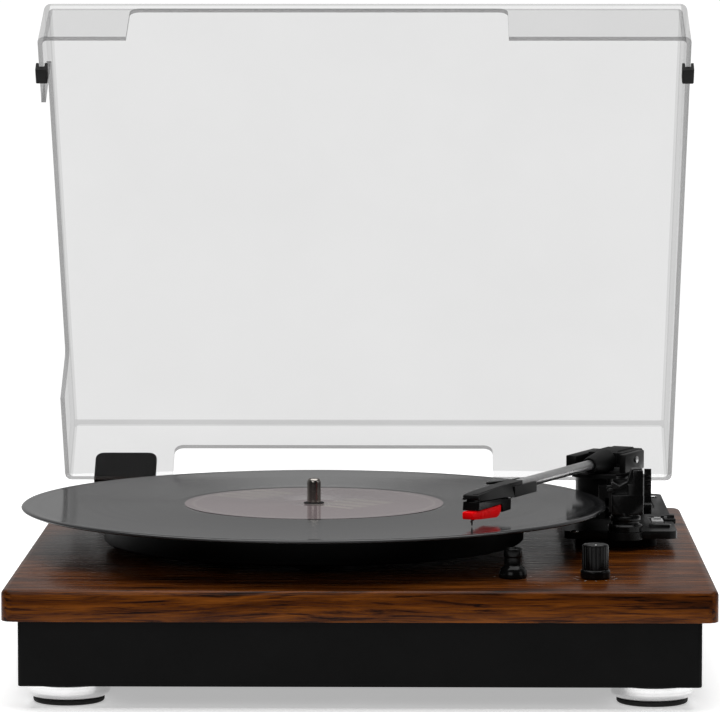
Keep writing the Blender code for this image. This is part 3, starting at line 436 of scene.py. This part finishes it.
def turned(profile, steps=96, ring=False, matrix=None):
    """Spin a profile of (radius, height) points about Z."""
    shape = bmesh.new()
    line = [shape.verts.new((radius, 0.0, height)) for radius, height in profile]
    edges = [shape.edges.new(pair) for pair in zip(line, line[1:])]
    if ring:
        edges.append(shape.edges.new((line[-1], line[0])))
    bmesh.ops.spin(shape, geom=line + edges, cent=(0, 0, 0), axis=(0, 0, 1), angle=math.tau, steps=steps,
                   use_merge=True)
    bmesh.ops.remove_doubles(shape, verts=shape.verts, dist=0.0005)
    if matrix:
        bmesh.ops.transform(shape, matrix=matrix, verts=shape.verts)
    return shape


def soft(profile, radius, steps=3):
    """Round the corners of an open profile."""
    points = [Vector(p) for p in profile]
    out = [tuple(points[0])]
    for before, corner, after in zip(points, points[1:], points[2:]):
        reach = min(radius, (before - corner).length * 0.45, (after - corner).length * 0.45)
        start = corner + (before - corner).normalized() * reach
        end = corner + (after - corner).normalized() * reach
        for i in range(steps + 1):
            t = i / steps
            out.append(tuple(start * (1 - t) ** 2 + corner * 2 * t * (1 - t) + end * t ** 2))
    out.append(tuple(points[-1]))
    return out


def merge(target, *others):
    """Add other bmeshes to the first, as separate shells of one piece."""
    for other in others:
        mesh = bpy.data.meshes.new("part")
        other.to_mesh(mesh)
        other.free()
        target.from_mesh(mesh)
        bpy.data.meshes.remove(mesh)
    return target


def along_x(x, y, z):
    return Matrix.Translation((x, y, z)) @ Matrix.Rotation(math.pi / 2, 4, "Y")


def along_y(x, y, z):
    return Matrix.Translation((x, y, z)) @ Matrix.Rotation(-math.pi / 2, 4, "X")


SIDE = Matrix(((0, 0, 1, 0), (1, 0, 0, 0), (0, 1, 0, 0), (0, 0, 0, 1)))
FRONT = Matrix(((1, 0, 0, 0), (0, 0, 1, 0), (0, 1, 0, 0), (0, 0, 0, 1)))


def refine(node, look, width=0.25):
    """A softened copy of a CAD node, with small rounds on its edges, that stands for the node."""
    shape = bmesh.new()
    shape.from_mesh(nodes[node].data)
    bmesh.ops.remove_doubles(shape, verts=shape.verts, dist=0.00002)
    bmesh.ops.dissolve_limit(shape, angle_limit=math.radians(0.8), verts=shape.verts, edges=shape.edges)
    mesh = bpy.data.meshes.new(node + "_body")
    shape.to_mesh(mesh)
    shape.free()
    mesh.materials.append(look)
    mesh.shade_smooth()
    mesh.set_sharp_from_angle(angle=math.radians(48))
    item = bpy.data.objects.new(node + "_body", mesh)
    scene.collection.objects.link(item)
    step = item.modifiers.new("edge_round", "BEVEL")
    step.width = width * MM
    step.segments = 2
    step.limit_method = "ANGLE"
    step.angle_limit = math.radians(28.0)
    step.use_clamp_overlap = True
    step.harden_normals = False
    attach(item, nodes[node]["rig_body"])
    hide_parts(node)
    return item


def cover(node, look):
    """Give a carried-over CAD node its detailed material."""
    data = nodes[node].data
    data.materials.clear()
    data.materials.append(look)


# ---------------------------------------------------------------- shapes cut with other shapes

def solid(name, shape, looks):
    """A loose object, still in millimetres, that is carved before it becomes a piece."""
    bmesh.ops.recalc_face_normals(shape, faces=shape.faces)
    mesh = bpy.data.meshes.new(name)
    shape.to_mesh(mesh)
    shape.free()
    for look in looks:
        mesh.materials.append(look)
    item = bpy.data.objects.new(name, mesh)
    scene.collection.objects.link(item)
    return item


def carve(base, steps):
    """Apply Booleans to a loose object, one shape after another, and return a bmesh."""
    tools = []
    for shape, look, operation in steps:
        tool = solid(base.name + "_tool", shape, [look])
        tools.append(tool)
        step = base.modifiers.new("step", "BOOLEAN")
        step.operation = operation
        step.solver = "EXACT"
        step.material_mode = "TRANSFER"
        step.object = tool
    bpy.context.view_layer.update()
    done = bpy.data.meshes.new_from_object(base.evaluated_get(bpy.context.evaluated_depsgraph_get()))
    shape = bmesh.new()
    shape.from_mesh(done)
    looks = [m for m in done.materials]
    for item in [base, *tools]:
        bpy.data.objects.remove(item, do_unlink=True)
    return shape, looks


# ---------------------------------------------------------------- plinth

def make_plinth():
    refine("top_board", WALNUT, width=0.5)
    refine("base_frame", BASE_WRAP, width=0.5)
    refine("bottom_cover", BLACK_MATT)
    low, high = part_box("foot_front_left")
    rim = (high.x - low.x) / 2 / MM
    lower, upper = low.z / MM, high.z / MM
    for name in ("foot_front_left", "foot_front_right", "foot_rear_left", "foot_rear_right"):
        spot = middle(name) / MM
        profile = soft([(0, lower + 0.1), (rim - 2.6, lower), (rim, lower + 2.2), (rim, upper - 0.6),
                        (rim - 0.6, upper), (0, upper)], 0.8, 5)
        place = Matrix.Translation((spot.x, spot.y, 0))
        wrap(name + "_ring", turned(profile, 96, matrix=place), CHROME, "plinth", [name])
        pad = soft([(0, 0), (16.6, 0), (17.4, 0.7), (17.4, lower - 0.2), (0, lower - 0.2)], 0.5, 3)
        pad_name = name.replace("foot_", "foot_pad_")
        wrap(pad_name + "_disc", turned(pad, 72, matrix=place), RUBBER, "plinth", [pad_name])
    make_back()


def screw_head(radius, matrix):
    """Pan head with a cross recess."""
    profile = soft([(0, 0), (radius, 0), (radius, 0.5), (radius * 0.62, 1.0), (0, 1.05)], 0.3, 3)
    base = solid("screw", turned(profile, 32), [STEEL])
    bars = [(block(-radius * 0.62, radius * 0.62, -0.22, 0.22, 0.45, 2, 0), STEEL, "DIFFERENCE"),
            (block(-0.22, 0.22, -radius * 0.62, radius * 0.62, 0.45, 2, 0), STEEL, "DIFFERENCE")]
    shape, looks = carve(base, bars)
    bmesh.ops.transform(shape, matrix=matrix, verts=shape.verts)
    return shape


def make_back():
    refine("jack_panel", BLACK_MATT)
    refine("phono_sockets", BLACK)
    refine("dc_inlet", BLACK)
    low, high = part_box("phono_sockets")
    low, high = low / MM, high / MM
    for name, x, look in (("socket_ring_pale", low.x + 8.2, PRINT),
                          ("socket_ring_red", high.x - 8.2, RED)):
        ring = soft([(4.1, 0), (5.6, 0), (5.6, 1.0), (4.1, 1.0)], 0.2, 2)
        place = along_y(x, high.y - 6.0, (low.z + high.z) / 2)
        wrap(name, turned(ring, 48, True, place), look, "plinth")
        sleeve = soft([(1.7, -4), (3.6, -4), (3.6, 5.9), (3.0, 6.3), (1.7, 6.3)], 0.2, 2)
        pin = turned(sleeve, 48, True, place)
        wrap(name + "_sleeve", pin, STEEL, "plinth")
    cover_low, cover_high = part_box("bottom_cover")
    under = cover_low.z / MM
    turn = Matrix.Rotation(math.pi, 4, "X")
    heads = None
    for x in (-0.42, 0.0, 0.42):
        for y in (-0.44, 0.44):
            spot = middle("bottom_cover") / MM
            spot.x += x * (cover_high.x - cover_low.x) / MM
            spot.y += y * (cover_high.y - cover_low.y) / MM
            head = screw_head(2.8, Matrix.Translation((spot.x, spot.y, under)) @ turn)
            heads = merge(heads, head) if heads else head
    wrap("cover_screws", heads, STEEL, "plinth")


# ---------------------------------------------------------------- platter and record

def make_record():
    at = Matrix.Translation((SPINDLE.x, SPINDLE.y, 0))
    low, high = RECORD_LOW, RECORD_HIGH
    centre = (low + high) / 2
    rim = (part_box("record")[1].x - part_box("record")[0].x) / 2 / MM
    profile = [(HOLE_RADIUS, low), (rim - 4, low), (rim - 0.9, low + 0.15),
               (rim - 0.15, centre - 0.35), (rim, centre), (rim - 0.15, centre + 0.35),
               (rim - 0.8, high - 0.12), (rim - 1.6, high), (rim - 2.6, high - 0.02),
               (rim - 4.2, high - 0.12), (rim - 5.4, high - 0.14), (72.0, high - 0.14),
               (70.4, high - 0.05), (69.0, high - 0.05), (68.2, high - 0.2), (HOLE_RADIUS, high - 0.2)]
    wrap("vinyl_disc", turned(profile, 256, True, at), VINYL, "platter", ["record"], flat=60)
    label = [(HOLE_RADIUS, high - 0.19), (LABEL_RADIUS, high - 0.19), (LABEL_RADIUS, high - 0.08),
             (14.6, high - 0.08), (13.9, high - 0.01), (13.2, high - 0.01), (12.5, high - 0.10),
             (HOLE_RADIUS, high - 0.10)]
    wrap("record_label", turned(label, 160, True, at), LABEL, "platter", flat=60)

    low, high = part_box("platter")[0].z / MM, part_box("platter")[1].z / MM
    rim = (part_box("platter")[1].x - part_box("platter")[0].x) / 2 / MM
    under = high - 3.0
    profile = [(7.8, under), (62.9, under), (62.9, under - 8.4), (66, under - 8.4), (66, under),
               (rim - 4, under), (rim - 4, low), (rim - 0.8, low), (rim, low + 0.8), (rim, high - 1.2),
               (rim - 1.2, high), (7.8, high)]
    wrap("platter_casting", turned(profile, 200, True, at), PLATTER, "platter", ["platter"])
    low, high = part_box("platter_mat")[0].z / MM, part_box("platter_mat")[1].z / MM
    profile = [(4.2, low), (MAT_RADIUS, low), (MAT_RADIUS, high - 0.6), (MAT_RADIUS - 0.6, high)]
    for i in range(13):
        radius = 98.0 - 6.6 * i
        profile += [(radius + 0.7, high), (radius + 0.35, high - 0.5), (radius - 0.35, high - 0.5),
                    (radius - 0.7, high)]
    profile.append((4.2, high))
    wrap("mat_ribbed", turned(profile, 144, True, at), RUBBER, "platter", ["platter_mat"])

    low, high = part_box("spindle")[0].z / MM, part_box("spindle")[1].z / MM
    profile = soft([(0, low), (3.55, low), (3.55, high - 1.6), (2.6, high - 0.3), (0, high)], 1.3, 6)
    wrap("spindle_pin", turned(profile, 64, matrix=at), SPINDLE_METAL, "plinth", ["spindle"])
    seat = soft([(3.8, RECORD_HIGH - 0.05), (5.4, RECORD_HIGH - 0.05), (5.0, RECORD_HIGH + 0.35),
                 (3.8, RECORD_HIGH + 0.5)], 0.2, 2)
    wrap("label_eyelet", turned(seat, 48, True, at), BLACK_MATT, "platter")
    for name in ("spindle_flange", "motor", "motor_bracket", "selector_control", "volume_control",
                 "selector_shaft", "volume_shaft", "hinge_pin_left", "hinge_pin_right", "pivot_shaft",
                 "counterweight"):
        cover(name, STEEL)
    for name, look in (("platter_bush", BRASS), ("motor_pulley", BRASS), ("drive_belt", RUBBER),
                       ("main_board", BOARD_GREEN)):
        cover(name, look)


# ---------------------------------------------------------------- knobs

def make_knobs():
    low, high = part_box("volume_knob")
    spot, low, high = middle("volume_knob") / MM, low.z / MM, high.z / MM
    at = Matrix.Translation((spot.x, spot.y, 0))
    ribs = 22
    outline = []
    for i in range(ribs):
        turn = 360.0 * i / ribs
        for radius, shift in ((6.5, -4.4), (6.54, 0), (6.5, 4.4), (6.1, 6.6), (6.1, 9.8)):
            angle = math.radians(turn + shift)
            outline.append((radius * math.cos(angle), radius * math.sin(angle)))
    body = prism(outline, low + 3.9, high - 1.2, matrix=at)
    skirt = soft([(2.6, low + 1), (2.6, low), (7.0, low), (7.3, low + 0.5), (7.3, low + 3.4),
                  (6.7, low + 4.2), (6.2, low + 4.3), (2.6, low + 4.3)], 0.35, 3)
    crown = soft([(0, high - 1.4), (6.25, high - 1.4), (6.2, high - 0.7), (5.3, high - 0.15),
                  (3.6, high), (0, high)], 0.5, 4)
    merge(body, turned(skirt, 96, True, at), turned(crown, 96, matrix=at))
    wrap("volume_knob_ribbed", body, BLACK_GLOSS, "volume", ["volume_knob"])
    line = block(-0.35, 0.35, -6.0, -2.6, high - 0.55, high - 0.05, 0.1, at)
    wrap("volume_pointer", line, PRINT, "volume")

    low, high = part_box("selector_knob")
    spot, low, high = middle("selector_knob") / MM, low.z / MM, high.z / MM
    at_left = Matrix.Translation((spot.x, spot.y, 0))
    bell = soft([(2.6, low + 1), (2.6, low), (6.7, low), (7.0, low + 0.5), (6.95, low + 1.8),
                 (6.6, low + 3.2), (5.9, low + 4.5), (5.0, low + 5.4), (4.3, low + 6.0),
                 (4.2, high - 4.4), (4.5, high - 4.0), (4.5, high - 0.6), (4.1, high), (3.4, high),
                 (2.9, high - 0.8), (0, high - 1.0)], 0.3, 3)
    bell = [(max(r, 0.0), z) for r, z in bell]
    body = turned([(0, low + 1), *bell], 96, matrix=at_left)
    wrap("selector_knob_turned", body, BLACK_GLOSS, "selector", ["selector_knob"])
    line = block(-0.3, 0.3, -2.6, -0.4, high - 1.1, high - 0.85, 0.05, at_left)
    wrap("selector_pointer", line, PRINT, "selector")
    make_marks(at, at_left)


def make_marks(volume, selector):
    """Plain ticks and dots printed around the two knobs."""
    ticks = None
    for i in range(11):
        turn = Matrix.Rotation(math.radians(-60 - 30 * i), 4, "Z")
        reach = 10.8 if i % 5 else 11.4
        tick = block(-0.16, 0.16, 9.4, reach, TOP + 0.01, TOP + 0.06, 0, volume @ turn)
        ticks = merge(ticks, tick) if ticks else tick
    for i in range(3):
        turn = Matrix.Rotation(math.radians(60 - 60 * i), 4, "Z")
        dot = turned([(0, TOP + 0.01), (0.5, TOP + 0.01), (0.5, TOP + 0.06), (0, TOP + 0.06)], 20,
                     matrix=selector @ turn @ Matrix.Translation((0, 10.2, 0)))
        ticks = merge(ticks, dot)
    wrap("knob_marks", ticks, PRINT, "plinth")


# ---------------------------------------------------------------- tonearm

def make_arm():
    for node, look, width in (("arm_plate", BLACK, 0.3), ("arm_rest", BLACK_GLOSS, 0.3),
                              ("arm_clip", BLACK, 0.15), ("pivot_pedestal", BLACK, 0.3),
                              ("arm_yoke", BLACK, 0.35), ("arm_block", BLACK_MATT, 0.4),
                              ("arm_collar", BLACK_MATT, 0.3), ("headshell", BLACK, 0.2),
                              ("cartridge", BLACK_GLOSS, 0.25), ("finger_lift", BLACK, 0.15),
                              ("cue_lever", BLACK_GLOSS, 0.2), ("cue_bar", BLACK, 0.2),
                              ("speed_switch", BLACK, 0.2), ("stop_switch", GREY_CAP, 0.2)):
        refine(node, look, width)
    for node in ("pivot_pin_far", "pivot_pin_near"):
        cover(node, STEEL)
    centre = middle("arm_tube").z / MM
    pipe = soft([(2.1, 12), (2.7, 12), (2.7, 127), (2.1, 127)], 0.2, 2)
    pipe = turned(pipe, 64, True, ARM @ along_x(0, 0, centre))
    wrap("arm_tube_pipe", pipe, TUBE, "arm_tilt", ["arm_tube"])
    make_stylus()


def make_stylus():
    """Red stylus guard with its cantilever and diamond tip."""
    guard = bmesh.new()
    sections = []
    for reach, half, top, bottom in ((188.2, 2.9, 30.4, 28.0), (187.4, 3.1, 30.6, 26.9),
                                     (179, 4.0, 30.7, 26.3), (161, 4.0, 30.9, 25.2),
                                     (158, 4.0, 31.0, 26.0), (155.8, 4.0, 31.0, 28.0)):
        outline = ((-half, bottom), (half, bottom), (half, top), (-half, top))
        sections.append([guard.verts.new((reach, y, TOP + z)) for y, z in outline])
    for near, far in zip(sections, sections[1:]):
        for i in range(4):
            j = (i + 1) % 4
            guard.faces.new((near[i], near[j], far[j], far[i]))
    guard.faces.new(sections[0])
    guard.faces.new(sections[-1])
    bmesh.ops.bevel(guard, geom=guard.edges[:], offset=0.35, segments=2, profile=0.5, affect="EDGES")
    bmesh.ops.transform(guard, matrix=ARM, verts=guard.verts)
    wrap("stylus_guard", guard, RED, "arm_tilt", ["stylus"])
    lean = Matrix.Translation((175, 0, TOP + 27.2)) @ Matrix.Rotation(math.radians(101), 4, "Y")
    rod = turned([(0, 0), (0.35, 0), (0.35, 9.5), (0, 9.5)], 16, matrix=ARM @ lean)
    tip_low, tip_high = RECORD_HIGH + 0.05, TOP + 27.4
    tip = turned([(0, tip_low), (0.12, tip_low + 0.1), (0.42, tip_low + 1.2), (0.5, tip_high),
                  (0, tip_high)], 16, matrix=ARM @ Matrix.Translation((183, 0, 0)))
    wrap("stylus_cantilever", merge(rod, tip), NEEDLE, "arm_tilt")


def wire(points, radius, sides=8, steps=6):
    """A thin round lead through a few points, smoothed between them."""
    path = []
    ends = [points[0], *points, points[-1]]
    for a, b, c, d in zip(ends, ends[1:], ends[2:], ends[3:]):
        a, b, c, d = Vector(a), Vector(b), Vector(c), Vector(d)
        for i in range(steps):
            t = i / steps
            path.append(0.5 * ((2 * b) + (c - a) * t + (2 * a - 5 * b + 4 * c - d) * t * t
                               + (3 * b - a - 3 * c + d) * t ** 3))
    path.append(Vector(points[-1]))
    shape = bmesh.new()
    loops = []
    for i, place in enumerate(path):
        ahead = (path[min(i + 1, len(path) - 1)] - path[max(i - 1, 0)]).to_track_quat("Z", "Y")
        loops.append([shape.verts.new(place + ahead @ Vector((radius * math.cos(math.tau * k / sides),
                                                             radius * math.sin(math.tau * k / sides), 0)))
                      for k in range(sides)])
    for near, far in zip(loops, loops[1:]):
        for k in range(sides):
            shape.faces.new((near[k], near[(k + 1) % sides], far[(k + 1) % sides], far[k]))
    shape.faces.new(loops[0])
    shape.faces.new(loops[-1])
    return shape


def make_arm_details():
    """Cartridge leads, headshell strip, ribs on the arm block, and marks and screws on the plate."""
    low = TOP
    leads = None
    for i, (side, drop) in enumerate(((-2.7, 33.2), (-0.9, 31.6), (0.9, 33.4), (2.7, 31.4))):
        path = [(143.8, side, low + drop), (141.0, side * 1.1, low + drop + 0.4),
                (138.2, side * 0.8, low + 33.4 + 0.3 * (i % 2)), (135.2, side * 0.6, low + 34.4)]
        lead = wire(path, 0.34)
        leads = merge(leads, lead) if leads else lead
        pin = turned([(0, 0), (0.55, 0), (0.55, 1.6), (0, 1.6)], 12,
                     matrix=along_x(143.2, side, low + drop))
        merge(leads, pin)
    bmesh.ops.transform(leads, matrix=ARM, verts=leads.verts)
    wrap("cartridge_leads", leads, WIRE_PALE, "arm_tilt")

    strip = prism([(148, low + 39.9), (174, low + 39.0), (182.6, low + 38.5), (182.6, low + 39.0),
                   (174, low + 39.55), (148, low + 40.45)], 0.2, 3.1, 0.12, ARM @ FRONT)
    wrap("headshell_strip", strip, BLACK, "arm_tilt")

    frames = None
    for y0, y1 in ((6.9, 8.0), (8.5, 9.3)):
        frame = block(7.4, 7.9, y0, y1, low + 36.6, low + 40.9, 0.1, ARM)
        frames = merge(frames, frame) if frames else frame
    wrap("block_ribs", frames, BLACK_GLOSS, "arm_tilt")

    marks = None
    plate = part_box("arm_plate")
    high = low + 9.5
    right = plate[1].x / MM
    front = plate[0].y / MM
    for x, y, length in ((right - 12.5, front + 24.5, 3.2), (right - 12.5, front + 64.0, 3.2),
                         (right - 3.2, front + 34.0, 1.6), (right - 3.2, front + 68.5, 1.6)):
        mark = block(x, x + length, y, y + 0.7, high + 0.01, high + 0.06, 0)
        marks = merge(marks, mark) if marks else mark
    wrap("plate_marks", marks, PRINT, "plinth")
    heads = None
    for x, y in ((plate[0].x / MM + 5.0, front + 5.0), (plate[0].x / MM + 5.0, front + 155.0),
                 (right - 5.0, front + 155.0)):
        head = screw_head(2.2, Matrix.Translation((x, y, high)))
        heads = merge(heads, head) if heads else head
    wrap("plate_screws", heads, STEEL, "plinth")


def make_hinge_screws():
    """Two pan heads on each hinge base, at the back of the plinth."""
    for side in ("left", "right"):
        low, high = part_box("hinge_base_" + side)
        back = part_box("top_board")[1].y / MM + 2.9
        centre = (low.x + high.x) / 2 / MM
        heads = None
        for offset in (-3.9, 3.9):
            head = screw_head(1.9, along_y(centre + offset, back, low.z / MM + 6.0))
            heads = merge(heads, head) if heads else head
        wrap("hinge_screws_" + side, heads, STEEL, "plinth")


# ---------------------------------------------------------------- lid

def lid_solid(inset, drop, edge):
    """The lid's outer form, or with an inset the form of the space inside it."""
    front, rear, low_edge = -305.3, -12.3, -3.3
    slopes = math.radians(10.4), math.radians(4.9)
    shape = bmesh.new()
    rings_made = []
    for height in (-drop, 45.5 - inset):
        y0 = front + inset / math.cos(slopes[0]) + math.tan(slopes[0]) * height
        y1 = rear - inset / math.cos(slopes[1]) - math.tan(slopes[1]) * height
        half = 167.4 - inset
        rings_made.append([shape.verts.new((x, y, low_edge + height))
                           for x, y in ((-half, y0), (half, y0), (half, y1), (-half, y1))])
    for i in range(4):
        j = (i + 1) % 4
        shape.faces.new((rings_made[0][i], rings_made[0][j], rings_made[1][j], rings_made[1][i]))
    floor = shape.faces.new(rings_made[0])
    floor.material_index = 1
    shape.faces.new(rings_made[1])
    bmesh.ops.recalc_face_normals(shape, faces=shape.faces)
    edges = [e for e in shape.edges if not all(v in rings_made[0] for v in e.verts)]
    bmesh.ops.bevel(shape, geom=edges, offset=edge, segments=6, profile=0.5, affect="EDGES")
    return shape


def make_lid():
    base = solid("lid_moulding", lid_solid(0.0, 0.0, LID_CORNER), [CLEAR, CLEAR_EDGE])
    front_notch = prism(rounded(-122, 74, -30, 33.2, 5.0, 5), -312, -287, matrix=FRONT)
    rear_notch = prism(rounded(-108, 69, -30, 21.7, 5.0, 5), -30, -7, matrix=FRONT)
    left_notch = prism(rounded(-264.6, -69.6, -30, 37.7, 4.0, 5), -172, -155, matrix=SIDE)
    cuts = [(lid_solid(LID_WALL, 2.0, LID_WALL), CLEAR, "DIFFERENCE")]
    cuts += [(shape, CLEAR_EDGE, "DIFFERENCE") for shape in (front_notch, rear_notch, left_notch)]
    shape, looks = carve(base, cuts)
    looks += [CLEAR_FRONT, CLEAR_BEND]
    for face in shape.faces:
        if looks[face.material_index] != CLEAR:
            continue
        if face.calc_center_median().y < -292.0 and abs(face.normal.y) > 0.975:
            face.material_index = looks.index(CLEAR_FRONT)
        elif max(abs(value) for value in face.normal) < 0.975:
            face.material_index = looks.index(CLEAR_BEND)
    lid = wrap("lid_moulding", shape, looks, "lid", ["lid"], LID)
    for node in ("bumper_left", "bumper_right"):
        refine(node, RUBBER, width=0.5)
    for node in ("hinge_leaf_left", "hinge_leaf_right", "hinge_base_left", "hinge_base_right"):
        refine(node, HINGE_PAINT, width=0.3)
    make_hinge_screws()
    return lid


# ---------------------------------------------------------------- studio

def make_stage():
    floor = bpy.data.meshes.new("floor")
    rim = [(FLOOR_RADIUS * math.cos(math.radians(5 * i)), FLOOR_RADIUS * math.sin(math.radians(5 * i)), 0)
           for i in range(72)]
    floor.from_pydata(rim, [], [tuple(range(72))])
    look = Look("floor_pale", roughness=0.6, specular=0.2)
    soft_noise = look.noise(look.mapped((1, 1, 1)), 3.0, 3.0)
    look.colour(look.ramp(soft_noise, [(0.2, (0.93, 0.93, 0.93)), (0.8, (0.95, 0.95, 0.95))]))
    look.shader.inputs["Emission Color"].default_value = (1.0, 1.0, 1.0, 1.0)
    look.set("Emission Strength", FLOOR_GLOW)
    floor.materials.append(look.material)
    item = bpy.data.objects.new("floor", floor)
    item.location.z = -0.0003
    scene.collection.objects.link(item)

    world = bpy.data.worlds.new("studio")
    scene.world = world
    world.use_nodes = True
    tree = world.node_tree
    tree.nodes.clear()
    out = tree.nodes.new("ShaderNodeOutputWorld")
    seen = tree.nodes.new("ShaderNodeBackground")
    seen.inputs["Color"].default_value = (1.0, 1.0, 1.0, 1.0)
    seen.inputs["Strength"].default_value = SKY_SEEN
    lit = tree.nodes.new("ShaderNodeBackground")
    choose = tree.nodes.new("ShaderNodeMixShader")
    path = tree.nodes.new("ShaderNodeLightPath")
    space = tree.nodes.new("ShaderNodeTexCoord")
    split = tree.nodes.new("ShaderNodeSeparateXYZ")
    ramp = tree.nodes.new("ShaderNodeValToRGB")
    shift = tree.nodes.new("ShaderNodeMapRange")
    shift.inputs["From Min"].default_value = -1.0
    tree.links.new(space.outputs["Generated"], split.inputs["Vector"])
    tree.links.new(split.outputs["Y"], shift.inputs["Value"])
    tree.links.new(shift.outputs["Result"], ramp.inputs["Fac"])
    stops = ramp.color_ramp.elements
    stops[0].position, stops[0].color = 0.30, (0.03, 0.03, 0.03, 1)
    stops[1].position, stops[1].color = 0.90, (0.44, 0.44, 0.44, 1)
    tree.links.new(ramp.outputs["Color"], lit.inputs["Color"])
    lit.inputs["Strength"].default_value = SKY_LIGHT
    tree.links.new(path.outputs["Is Camera Ray"], choose.inputs["Fac"])
    tree.links.new(lit.outputs["Background"], choose.inputs[1])
    tree.links.new(seen.outputs["Background"], choose.inputs[2])
    tree.links.new(choose.outputs["Shader"], out.inputs["Surface"])


def lamp(name, place, target, size, power):
    data = bpy.data.lights.new(name, "AREA")
    data.shape = "RECTANGLE"
    data.size, data.size_y = size
    data.energy = power
    item = bpy.data.objects.new(name, data)
    item.location = place
    item.rotation_euler = (Vector(target) - Vector(place)).to_track_quat("-Z", "Y").to_euler()
    item.visible_camera = False
    scene.collection.objects.link(item)


def make_light():
    lamp("overhead_softbox", (0.0, 0.1, 1.9), (0, 0.05, 0), (2.6, 2.2), 50.0)
    lamp("front_softbox", (-0.9, -2.4, 1.3), (0, 0, 0.05), (1.6, 1.0), 12.0)
    lamp("side_fill", (2.2, -0.8, 0.9), (0, 0, 0.1), (1.0, 1.2), 4.0)
    scene.view_settings.view_transform = "Standard"


def make_camera():
    data = bpy.data.cameras.new("camera")
    data.sensor_width = 36.0
    data.lens = CAMERA_LENS
    data.clip_start, data.clip_end = 0.1, 60.0
    item = bpy.data.objects.new("camera", data)
    item.location = CAMERA_PLACE
    item.rotation_euler = (math.pi / 2 - CAMERA_TILT, 0.0, CAMERA_TURN)
    scene.collection.objects.link(item)
    scene.camera = item


make_plinth()
make_record()
make_knobs()
make_arm()
make_arm_details()
make_lid()
make_stage()
make_light()
make_camera()
